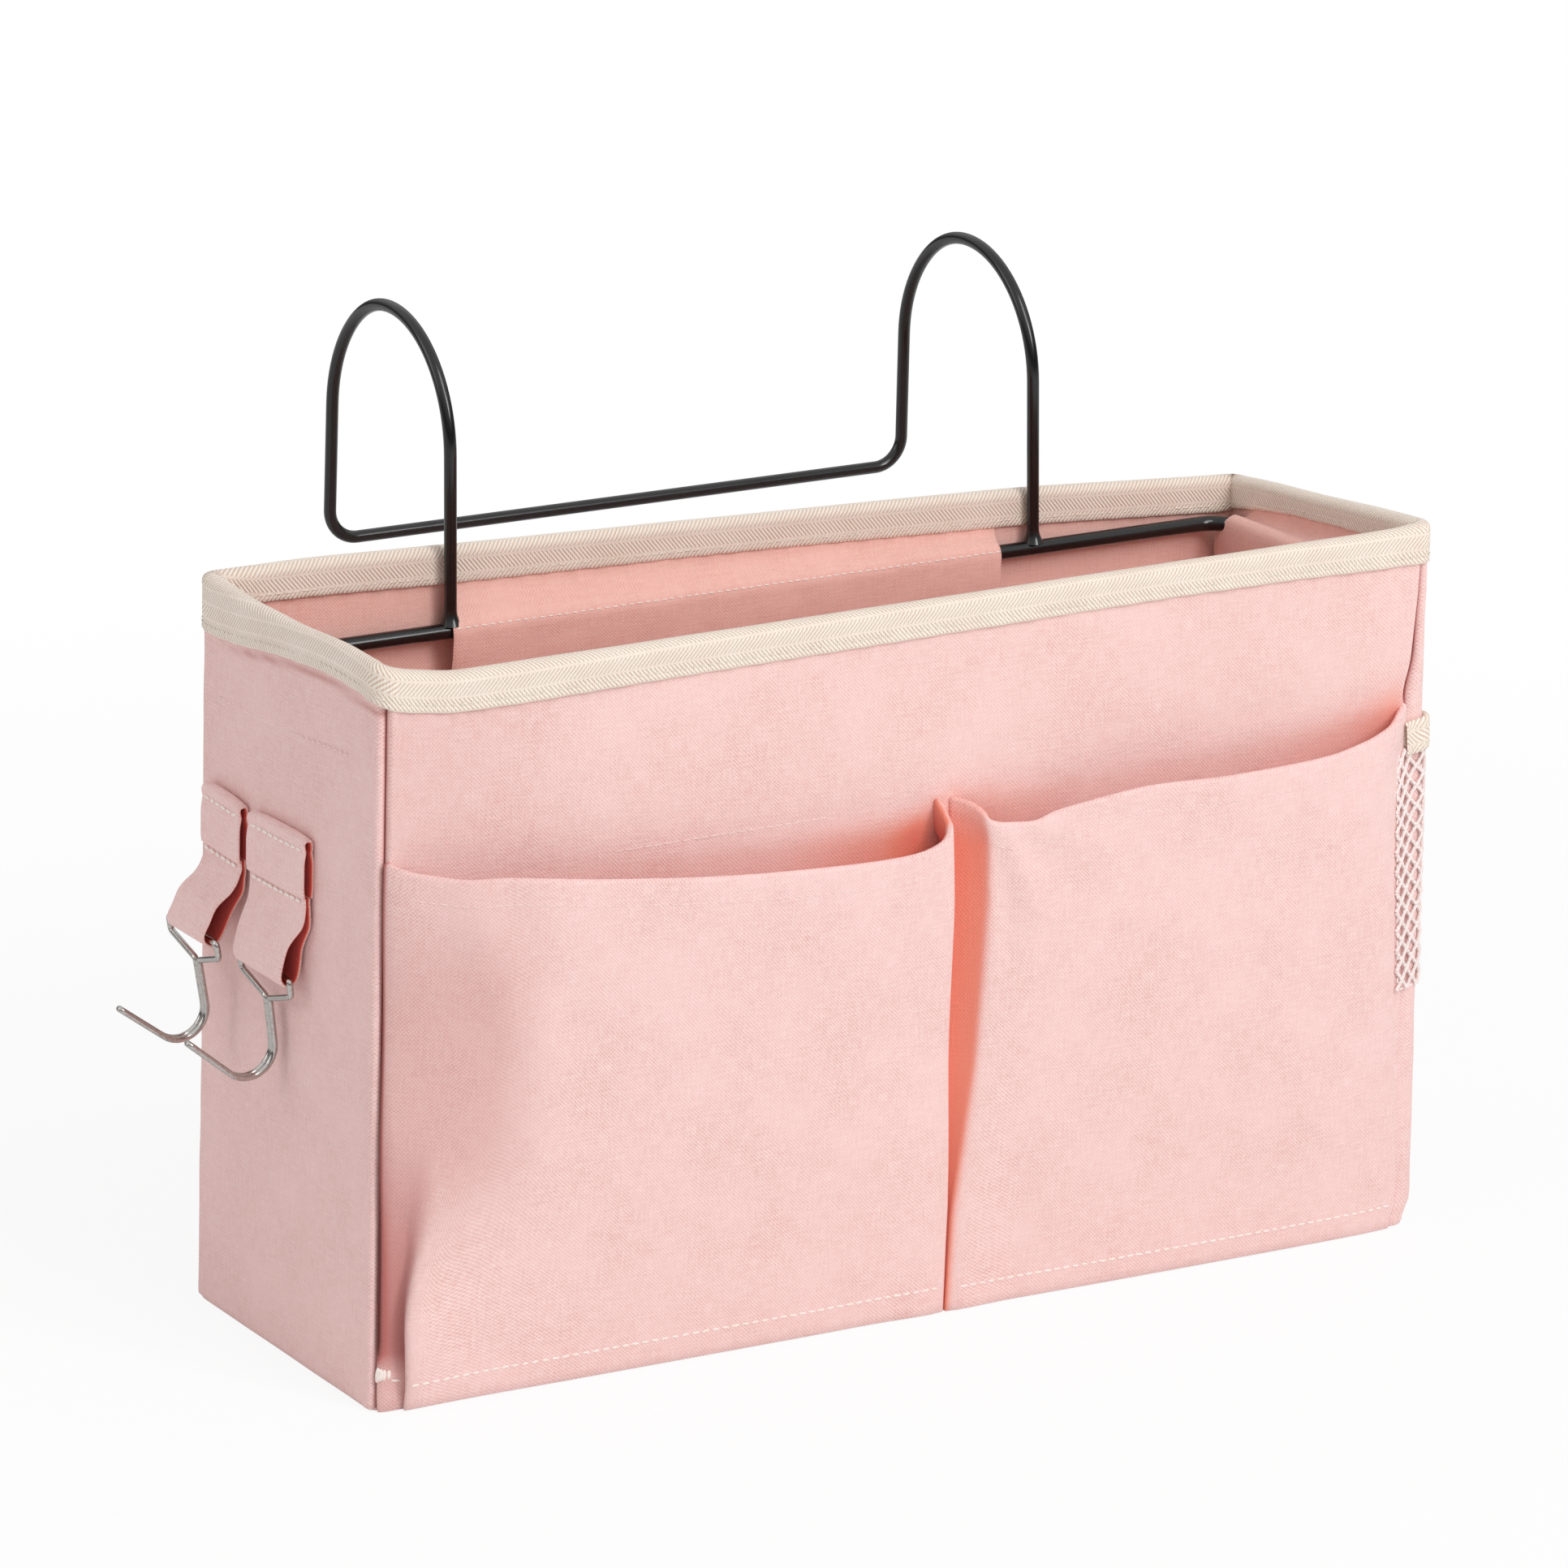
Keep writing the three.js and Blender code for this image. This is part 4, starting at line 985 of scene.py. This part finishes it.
# A pocket's section is a row of (x, stand-off) points. These are the mouth's height at each of them, and
# the steps of the grid between them
LEFT_MOUTH = [169.8, 169.7, 169.4, 169.0, 168.6, 168.4, 168.2, 168.0, 167.6, 166.6, 162.8, 158.1, 155.2,
              154.1, 155.4, 157.4, 160.2, 162.2, 164.2, 166.2]
RIGHT_MOUTH = [166.2, 165.6, 164.6, 162.8, 160.4, 158.9, 158.4, 160.9, 164.4, 163.8, 163.8, 164.1, 165.6,
               167.5, 168.8, 169.7, 170.8, 171.8, 172.2]
LEFT_STEPS = [3, 3, 3, 3, 4, 3, 3, 3, 5, 12, 14, 14, 9, 4, 3, 3, 3, 3, 4]
RIGHT_STEPS = [4, 4, 3, 3, 3, 5, 5, 10, 10, 10, 7, 5, 4, 4, 3, 3, 3, 3]
# The left pocket's edge at the bag's corner: pleated at the foot and loose at the mouth
LEFT_PLEAT = [(-187.6, -0.1), (-187.0, 0.3), (-185.6, 0.4), (-183.0, 0.5), (-180.0, 1.0), (-180.6, 3.4),
              (-181.6, 5.4), (-180.6, 6.6), (-175.0, 6.2), (-154.0, 4.4)]
LEFT_LOOSE = [(-187.6, 0.1), (-187.2, 0.9), (-186.0, 2.2), (-183.6, 4.0), (-180.2, 6.0), (-175.6, 8.2),
              (-170.0, 10.3), (-163.0, 12.4), (-155.0, 14.2), (-145.0, 15.6)]
PLEAT_SHIFT = [0, 0, 0, 0.3, 1, 1, 1, 1, 0.6, 0]
# The faces: (x, share of the full stand-off)
LEFT_FACE = [(-120, 0.97), (-80, 1.0), (-40, 0.955), (-15, 0.83)]
RIGHT_FACE = [(33, 0.81), (44, 0.86), (72, 0.97), (100, 1.0), (128, 0.95), (148, 0.85), (160, 0.73),
              (168, 0.6), (174, 0.45), (178.5, 0.27), (181.6, 0.13), (183.4, 0.05)]
LEFT_FULL, RIGHT_FULL = 16.8, 16.5
# Creases: (height, from, to, width)
LEFT_CREASES = [
    (1.0, (-168, 172), (-150, 120), 7),
    (-0.7, (-158, 171), (-128, 118), 7),
    (0.7, (-4, 158), (-30, 105), 8),
    (-0.6, (3, 160), (-9, 100), 5),
    (-0.5, (-182, 60), (-150, 12), 6),
]
RIGHT_CREASES = [
    (0.9, (22, 158), (36, 128), 3.2),
    (-0.8, (24, 160), (47, 138), 3.2),
    (0.7, (26, 162), (58, 147), 3.4),
    (-0.5, (28, 163), (66, 156), 3.0),
    (-0.7, (21, 156), (27, 116), 3.6),
    (0.9, (170, 172), (150, 120), 8),
    (-0.7, (160, 170), (128, 128), 8),
]


def grow(t, full):
    """Stand-off of a pocket's face at height share t."""
    foot = 1.6
    return foot + (full - foot) * t**0.85


def left_section(t):
    """(x, stand-off) points of the left pocket's section at height share t, from the corner to the fold."""
    full = grow(t, LEFT_FULL)
    pleat, loose = np.array(LEFT_PLEAT), np.array(LEFT_LOOSE)
    pleat[:, 1] *= table([(0, 0.3), (0.05, 0.65), (0.15, 1.0)], t)
    pleat[:, 0] += table([(0, 1.8), (0.05, 1.5), (0.15, 0.0)], t) * np.array(PLEAT_SHIFT)
    loose[:, 1] *= np.maximum(full / LEFT_FULL, 0.12)
    soft = smooth(0.16, 0.52, t)
    fx = table([(0, 9.6), (0.21, 9.6), (0.52, 7.8), (0.84, 6.6), (1, 5.4)], t)
    fb = table([(0, 1.5), (0.21, 3.2), (0.52, 6.0), (0.84, 8.7), (1, 10.0)], t)
    root = table([(0, 10.6), (0.5, 8.5), (1, 6.0)], t)
    fold = [(fx - 7, fb * 1.18 + 0.3), (fx - 2.2, fb * 1.1), (fx - 0.2, fb * 0.93), (fx, fb * 0.72),
            (fx + 0.1, fb * 0.45), (root, 0.3)]
    return [*(pleat * (1 - soft) + loose * soft), *((x, full * s) for x, s in LEFT_FACE), *fold]


def right_section(t):
    """The right pocket's section, from the fold to the seam at the bag's corner."""
    full = grow(t, RIGHT_FULL)
    fx = table([(0, 11.0), (0.21, 11.9), (0.5, 16.7), (0.72, 18.1), (0.83, 18.6), (0.95, 17.6), (1, 15.9)], t)
    fb = table([(0, 1.5), (0.21, 3.2), (0.48, 5.6), (0.72, 7.5), (0.83, 8.5), (1, 9.8)], t)
    root = table([(0, 10.9), (1, 9.6)], t)
    fold = [(root, 0.3), (root + (fx - root) * 0.35, fb * 0.3), (root + (fx - root) * 0.72, fb * 0.64),
            (fx - 0.1, fb * 0.93), (fx + 1.6, fb * 1.12), (fx + 6.5, fb * 1.22 + 0.2)]
    return [*fold, *((x, full * s) for x, s in RIGHT_FACE), (184.2, -0.05)]


def at_height(column, values, z):
    """Values of a column of points at a height."""
    return [np.interp(z, column[:, 2], v) for v in values.T]


def pocket(name, node, section, mouth, steps, crumple, creases, depth):
    """A bellows pocket from its sections. Gives the points of its face and their outward normals."""
    rows = []
    for t in ROWS:
        line = through([(x, b, m) for (x, b), m in zip(section(t), mouth)], steps)
        x, b, m = line[:, 0], line[:, 1], line[:, 2]
        z = FOOT + (m - FOOT) * t
        x = x + seam_shift(x + FLAT_X, z)
        rows.append(np.stack([x, front_face(x) - CANVAS_THICK / 2 - 0.05 - b, z], -1))
    face = np.stack(rows, 1)
    tangent = unit(np.gradient(face, axis=0) * (1, 1, 0))
    out = np.stack([tangent[..., 1], -tangent[..., 0], 0 * tangent[..., 0]], -1)
    x, z = face[..., 0], face[..., 2]
    push = 0.5 * waves(x, z, *crumple) * smooth(0.02, 0.35, ROWS)
    push = push + sum(height * near_line(x, z, a, b, width) for height, a, b, width in creases)
    face = face + out * push[..., None]
    # the hem rolls over the mouth and is turned down inside
    top, n = face[:, -1], out[:, -1]
    hem = []
    for a in math.pi * np.arange(1, 7) / 6:
        hem.append(top - n * HEM_ROLL * (1 - math.cos(a)) + np.array([0, 0, HEM_ROLL * math.sin(a)]))
    for down in HEM_DEPTH * np.arange(1, 5) / 4:
        inner = [at_height(column, column, z) for column, z in zip(face, top[:, 2] - down)]
        hem.append(np.array(inner) - n * 2 * HEM_ROLL)
    grid = np.concatenate([face, np.stack(hem, 1)], 1)
    up = np.array([run_length(column) for column in grid])
    station = np.arange(len(grid))[:, None]
    # painted light and shade: depth gives each column's painted shade and glow, the hem's turned-down rows
    # get more painted glow, and inside paints the pocket's inner face with painted glow
    coords = np.stack([run_length(face[:, 30])[:, None] + 0 * up, up, depth(station, grid[..., 2])], -1)
    coords[:, len(ROWS) + 3 :, 2] += 0.6
    obj = cloth(name, settle(grid), CANVAS_THICK, coords, inside=0.8)
    dress(obj, CANVAS, "root", node)
    return face, out


def left_painted_light(station, z):
    """Shade in the pleat and beside it, and the glow in the fold. Stations are the grid's columns."""
    last = sum(LEFT_STEPS)
    strip = -(1 - smooth(15, 22, station))
    strip = strip * table([(0, 0.3), (12, 0.4), (18, 1.0), (50, 0.9), (90, 0.4), (150, 0.1)], z)
    strip = strip * (1 + 0.6 * (1 - smooth(1, 9, station)) * smooth(14, 22, z))
    strip = 0.85 * strip - (1 - smooth(0.5, 4, station)) * smooth(14, 22, z)
    shade = -0.34 * (1 - smooth(22, 38, station)) * smooth(40, 90, z) * (1 - 0.6 * smooth(130, 165, z))
    fold = table([(0, 1.1), (20, 1.0), (156, 1.0), (162, 0.6), (168, 0.3)], z)
    return np.minimum(strip, shade) + smooth(last - 11, last - 8, station) * fold


def right_painted_light(station, z):
    # painted glow in the right pocket's fold, fading towards the mouth
    fold = table([(0, 1.1), (20, 1.0), (153, 1.0), (159, 0.75), (166, 0.4)], z)
    return (1 - smooth(10, 15, station)) * fold


left_face = pocket("left_pocket_cloth", "left_pocket", left_section, LEFT_MOUTH, LEFT_STEPS, (61, 85),
                   LEFT_CREASES, left_painted_light)
right_face = pocket("right_pocket_cloth", "right_pocket", right_section, RIGHT_MOUTH, RIGHT_STEPS, (67, 80),
                    RIGHT_CREASES, right_painted_light)


def on_face(face_and_out, level, first, end):
    """Points and normals along a pocket's columns, at a level above the foot or, below 0, from the mouth."""
    points, normals = [], []
    for column, out in zip(*(grid[first:end] for grid in face_and_out)):
        z = column[-1, 2] + level if level < 0 else level
        points.append(at_height(column, column, z))
        normals.append(at_height(column, out, z))
    normals = unit(np.array(normals))
    return settle(np.array(points) + normals * (CANVAS_THICK / 2 + 0.02)), normals


parts = stitch_parts(*on_face(left_face, 8.8, 22, -12), *POCKET_STITCH)
parts += stitch_parts(*on_face(right_face, 8.0, 16, -3), *POCKET_STITCH)
# the thick stitches that hold the pocket's corner
points, normals = on_face(left_face, 12.0, 0, 20)
for i in (0, 1, 3, 5, 7):
    parts.append(bead(points[i], unit(np.array([0.1, 0, 1])), normals[i], 5.0 - 0.3 * i, 1.4, 0.9))
parts += stitch_parts(points[8:] - (0, 0, 2.2), normals[8:], *CORNER_STITCH)
dress(joined("pocket_stitches", parts), THREAD)
sew("mouth_stitches", FAINT_THREAD, "canvas",
    (*on_face(left_face, -7.0, 12, -13), *MOUTH_STITCH), (*on_face(right_face, -7.0, 15, -3), *MOUTH_STITCH))


# ---------------------------------------------------------------- net pocket on the right end

NET_FOOT, NET_TOP = 80.5, 167.6
NET_START = SEAM_RIGHT - 6.3
NET_WIDTH = REAR_RIGHT - NET_START
NET_COLUMNS, NET_ROWS = 25, 13
# The tape folded over the net's mouth: (layer, height above the mouth)
NET_TAPE_PATH = [(-0.5, -10.4), (-0.6, -7), (-0.75, -2.6), (-0.55, -1.0), (0.2, -0.4), (0.95, -1.0),
                 (1.1, -2.6), (1.15, -7), (1.15, -10.4)]


def net_point(across, z, layer):
    """The net starts at the front pocket's seam, goes round the corner and ends at the rear corner."""
    side = smooth(12.5, 58, across) * smooth(0, 34, NET_WIDTH - across)
    up = np.clip((z - NET_FOOT) / (NET_TOP - NET_FOOT), 0, 1)
    bulge = 7.8 * side * np.sin(np.pi / 2 * up) ** 0.8
    over_edge = (2.2 + 2.0 * up) * (1 - smooth(0, 9.5, across))
    q = NET_START + across + (3.4 - 4.6 * up) * (1 - smooth(0, 22, across))
    return settle(wall_points(q + seam_shift(q, z), -(0.75 + 0.3 * up + over_edge + bulge + layer), z))


def strand(across, z, side):
    """One side of a mesh of the net, thicker at its knots. Strands of one slant lie above the others."""
    line = net_point(np.linspace(*across, 3), np.linspace(*z, 3), 0.08 * side)
    _, normal, other = frames(line)
    angles = math.pi / 3 * np.arange(6)
    spokes = np.cos(angles)[:, None] * normal[1] + np.sin(angles)[:, None] * other[1]
    rings = line[:, None] + np.array([0.76, 0.58, 0.76])[:, None, None] * spokes
    return rings.reshape(-1, 3), angles


def add_net():
    p, q = NET_WIDTH / NET_COLUMNS / 2, (NET_TOP - 2 - NET_FOOT) / NET_ROWS / 2
    parts = []
    for i in range(2 * NET_COLUMNS + 1):
        for j in range(i % 2, 2 * NET_ROWS, 2):
            for side in (1, -1):
                # none beside the net, and none under the tape's slanting end
                under_tape = j * q > NET_TOP - 11 - NET_FOOT and min(i, i + side) * p < 5.5
                if under_tape or not 0 <= i + side <= 2 * NET_COLUMNS:
                    continue
                low = NET_FOOT + j * q
                points, angles = strand((i * p, (i + side) * p), (low, low + q), side)
                coords = [(s + j * 3, a, 0) for s in (0, 1.6, 3.2) for a in angles]
                parts.append((points, ring_faces(3, len(angles)), np.array(coords)))
    obj = dress(joined("net_mesh", parts), NET, "root", "side_net")


def add_net_tape():
    values = spans((5.9, 16, 16), (16, NET_WIDTH - 6, 48), (NET_WIDTH - 6, NET_WIDTH, 8))
    a, layer, z, along = swept(values, [(b, NET_TOP + h) for b, h in NET_TAPE_PATH], 3)
    flutter = 0.12 * np.sin(a * 2.1) * smooth(NET_TOP - 8, NET_TOP - 13, z)
    coords = np.stack([a, along, 0 * a], -1)
    obj = cloth("net_tape", net_point(a, z, layer + flutter), NET_TAPE_THICK, coords)
    dress(obj, TAPE, "root", "net_binding")


def net_row(across, z, layer, size):
    """A row of stitches on the net, for sew."""
    across, z = np.broadcast_arrays(across, z)
    return net_point(across, z, layer), outward(NET_START + across), *size


add_net()
add_net_tape()
row = net_row(spans((7.0, NET_WIDTH - 1, 90)), NET_TOP - 8.8, 1.52, TAPE_STITCH)
sew("net_tape_stitches", TAPE_THREAD, "binding_tape", row)
edge_up, edge_along = np.linspace(NET_FOOT, NET_TOP - 2, 60), np.linspace(1, NET_WIDTH - 1, 90)
edges = [(0.4, edge_up), (NET_WIDTH - 0.4, edge_up), (edge_along, NET_FOOT + 0.3)]
sew("net_edge_stitches", THREAD, "net", *(net_row(a, z, 0.3, NET_EDGE_STITCH) for a, z in edges))


# ---------------------------------------------------------------- key straps and hooks

STITCH_Z = 147.0
STRAP_TOP_STITCH = 163.6
STRAP_CENTRE = -HALF_WIDTH - 2.0
BAR_DROP = 22.6
LOOP_WIDEST = 31.0  # what the hook's bar leaves for the loop
# The hook: half the gap between its two wires, half the bar, and the slope of its tip
PAIR, BAR, RISE = 1.15, 16.6, math.radians(46)


def band(path, place, width):
    """A strip of cloth swept along a path in the x-z plane, and its coordinates."""
    u, x, z, along = swept(spans((-0.5, -0.44, 2), (-0.44, 0.44, 16), (0.44, 0.5, 2)), path, 5)
    return np.stack([x, place + u * width, z], -1), u, along


def swung(x, z, angle):
    c, s = math.cos(angle), math.sin(angle)
    return x * c + z * s, -x * s + z * c


def strap_base(key, middle, width):
    """The doubled part, sewn to the wall at its top and where the loop starts."""

    def outer(z):
        pinch = 1.28 - 0.62 * hill(z - STITCH_Z, 2.4) - 0.5 * hill(z - STRAP_TOP_STITCH, 2.2)
        return STRAP_CENTRE - pinch, z

    def inner(z):
        return 2 * STRAP_CENTRE + 0.1 - outer(z)[0], z

    path = [outer(z) for z in (149.1, 151.5, 155, 159, 162, 164, 166)]
    path += [(STRAP_CENTRE - 0.9, 167.2), (STRAP_CENTRE - 0.1, 167.6), (STRAP_CENTRE + 0.8, 167.0)]
    path += [inner(z) for z in (165, 163.4, 160, 156, 152, 149.1)]
    mid, u, along = band(path, middle, width)
    mid[..., 2] -= 1.1 * np.abs(2 * u) ** 3 * smooth(158, 167, mid[..., 2])
    mid[..., 0] -= 0.5 * smooth(0, -1.0, mid[..., 0] - STRAP_CENTRE)
    coords = np.stack([u * width, along, 0 * u], -1)
    # painted light and shade: outside paints one face of the strap dark red
    obj = cloth(f"{key}_strap_cloth", settle(mid), STRAP_THICK, coords, outside=2.1)
    dress(obj, CANVAS, "root", f"{key}_strap_base")


def strap_loop(key, place, swing, middle, width, fat):
    """The loop, built hanging straight down from the stitching and then swung out."""
    path = [(-0.72, 2.1), (-0.66, 0.2), (-0.95, -3), (-1.9 * fat, -8), (-2.7 * fat, -13.5), (-3.0, -18.5)]
    path += [(-2.75, -22.2), (-1.5, -24.0), (0, -24.35), (1.5, -24.0), (2.75, -22.2)]
    path += [(3.0, -18.5), (2.3, -12), (1.5, -7), (0.95, -3), (0.66, 0.2), (0.72, 2.1)]
    mid, u, along = band(path, 0, width)
    x, y, z = mid[..., 0].copy(), mid[..., 1].copy(), mid[..., 2].copy()
    # its lower end is centred on the bar, and no wider than the bar lets it be
    lower = smooth(-2, -14, z)
    y = y * (1 + (min(width, LOOP_WIDEST) / width - 1) * lower) + (middle - place) * (1 - lower)
    a = math.radians(swing)
    share = smooth(1.2, -2.4, z)
    sx, sz = swung(x, z, a)
    hinge = np.array([STRAP_CENTRE, place, STITCH_Z])
    mid = hinge + np.stack([x * (1 - share) + sx * share, y, z * (1 - share) + sz * share], -1)
    mid = mid + (settle(hinge) - hinge) * smooth(STITCH_Z - 6, STITCH_Z + 1, mid[..., 2])[..., None]
    coords = np.stack([u * width, along, 0 * u], -1)
    # painted light and shade: inside paints one face of the loop dark red
    loop = cloth(f"{key}_loop_cloth", mid, STRAP_THICK, coords, inside=2.15)
    dress(loop, CANVAS, None, f"{key}_strap_loop")
    place / 1000
    place / 1000
    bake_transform(loop)


def strap_stitches(key, middle, width):
    y = np.linspace(middle - width / 2 + 1.4, middle + width / 2 - 1.4, 12)
    rows = []
    for z in (STRAP_TOP_STITCH, STITCH_Z + 0.9):
        line = settle(np.stack([STRAP_CENTRE - 1.9 + 0 * y, y, z + 0 * y], -1))
        rows.append((line, np.tile((-1.0, 0, 0), (len(y), 1)), *STRAP_STITCH))
    sew(f"{key}_strap_stitches", THREAD, "canvas", *rows)


def key_hook(key, place, swing, lean):
    """One wire bent double, whose bar lies in the loop."""
    reach = 9 * math.tan((math.pi / 2 + RISE) / 2)
    drop = 10 + 14.4 + reach
    tip = (-(18 + reach) * math.cos(RISE), (18 + reach) * math.sin(RISE) - drop)

    def half(sign):
        return [
            ((0, sign * 0.3, 0), 0),
            ((0, sign * BAR, 0), 1.5),
            ((0, sign * BAR, -5), 1.5),
            ((0, sign * PAIR, -10), 1.5),
            ((0, sign * PAIR, -drop), 9),
            ((tip[0], sign * PAIR, tip[1]), PAIR),
        ]

    line = bent(half(1) + half(-1)[::-1], 8)
    x, z = swung(line[:, 0], line[:, 2], -math.radians(swing + lean))
    x, z = swung(x, z - BAR_DROP, math.radians(swing))
    line = np.stack([x + STRAP_CENTRE, line[:, 1] + place, z + STITCH_Z], -1)
    hook = tube(f"{key}_hook_bent_wire", line, 1.0, sides=16)
    dress(hook, CHROME, f"{key}_hook", f"{key}_key_hook")


# The joint's y, the loop's swing, the hook's lean back from it, the strap's middle and width, and how full
# the loop is
for key, place, swing, lean, middle, width, fat in (
    ("front", 2.5, 12, 7, -0.3, 35.6, 1.0),
    ("rear", 38.5, 30, 10, 35.4, 24.0, 1.25),
):
    strap_base(key, middle, width)
    strap_loop(key, place, swing, middle, width, fat)
    strap_stitches(key, middle, width)
    key_hook(key, place, swing, lean)


# ---------------------------------------------------------------- stitches that show through the walls

left_q = around(q_of("left", 45), q_of("left", -38))
left_row = settle(wall_points(left_q, -0.02, np.linspace(194.2, 197.2, len(left_q))))
front_q = around(q_of("front", -109), q_of("front", -33))
front_row = settle(wall_points(front_q, -0.02, 166.6))
sew("wall_stitches", FAINT_THREAD, "canvas",
    (left_row, outward(left_q), *LEFT_WALL_STITCH), (front_row, outward(front_q), *FRONT_WALL_STITCH))


# ---------------------------------------------------------------- camera, light, floor

PHOTO_WIDTH, FOCAL_PIXELS, SENSOR = 1932, 8616.8, 36
azimuth, elevation, roll = math.radians(-31.23), math.radians(16.09), math.radians(1.74)
back = Vector((
    math.sin(azimuth) * math.cos(elevation), -math.cos(azimuth) * math.cos(elevation), math.sin(elevation)
))
level = Vector((math.cos(azimuth), math.sin(azimuth), 0))
upright = back.cross(level)
right = math.cos(roll) * level + math.sin(roll) * upright
up = -math.sin(roll) * level + math.cos(roll) * upright
location = Vector((-0.05, -1.15, 116.5)) + 2212.2 * back - 13.5 * right + 41.0 * up
camera_data = bpy.data.cameras.new("camera")
camera_data.lens = FOCAL_PIXELS / PHOTO_WIDTH * SENSOR
camera_data.sensor_width = SENSOR
camera_data.sensor_fit = "HORIZONTAL"
camera_data.clip_end = 50
camera = placed("camera", camera_data)
matrix = Matrix((right, up, back)).transposed().to_4x4()
matrix.translation = location * 0.001
camera.matrix_world = matrix
bpy.context.scene.camera = camera

# Place, target height, size and power
for name, position, height, size, power in (
    ("key", (0.7, -1.95, 1.4), 0.12, 0.8, 14),
    ("side", (-2.6, 0.7, 1.3), 0.12, 1.6, 9),
    ("top", (0.25, -1.5, 2.0), 0.15, 1.2, 15),
):
    data = bpy.data.lights.new(name, "AREA")
    data.shape = "DISK"
    data.size = size
    data.energy = power
    lamp = placed(name, data)
    lamp.location = position
    lamp.rotation_euler = (Vector((0, 0, height)) - Vector(position)).to_track_quat("-Z", "Y").to_euler()


def ray(graph, kind):
    return graph.node("ShaderNodeLightPath", output=f"Is {kind} Ray")


WHITE = (1.0, 1.0, 1.0)
studio = Graph(bpy.data.worlds.new("studio"), "ShaderNodeOutputWorld")
seen = studio.node("ShaderNodeBackground", (WHITE, 1.0))
lit = studio.node("ShaderNodeBackground", (WHITE, 0.56))
# bright wire shows a white ceiling over a darker room
height = studio.node("ShaderNodeSeparateXYZ", (studio.node("ShaderNodeTexCoord", output="Generated"),), 2)
room = studio.node("ShaderNodeBackground", {1: studio.ramp(height, 0.1, 0.55, 0.12, 1.1)})
through_to_camera = (ray(studio, "Camera"), ray(studio, "Transmission"))
either = studio.node("ShaderNodeMath", through_to_camera, operation="MAXIMUM")
world = studio.finished(studio.blend(either, studio.blend(ray(studio, "Glossy"), lit, room), seen))
bpy.context.scene.world = world

floor_mesh = bpy.data.meshes.new("floor")
floor_mesh.from_pydata([(-7, -5, 0), (7, -5, 0), (7, 9, 0), (-7, 9, 0)], [], [(0, 1, 2, 3)])
floor = placed("floor", floor_mesh)
floor.location.z = -0.0002
paper = Graph(bpy.data.materials.new("white_paper"))
diffuse = paper.node("ShaderNodeBsdfDiffuse", ((0.9, 0.9, 0.9),))
glow = paper.node("ShaderNodeEmission", {1: 1.0})
# white away from the object, and with the object's shadow near it
place = paper.node("ShaderNodeTexCoord", output="Object")
away = paper.node("ShaderNodeVectorMath", (place,), "Value", operation="LENGTH")
fade = paper.ramp(away, 0.35, 0.9, 0.88, 1.0)
share = paper.node("ShaderNodeMath", (ray(paper, "Camera"), fade), operation="MULTIPLY")
floor_mesh.materials.append(paper.finished(paper.blend(share, diffuse, glow)))

bpy.context.scene.view_settings.view_transform = "Standard"
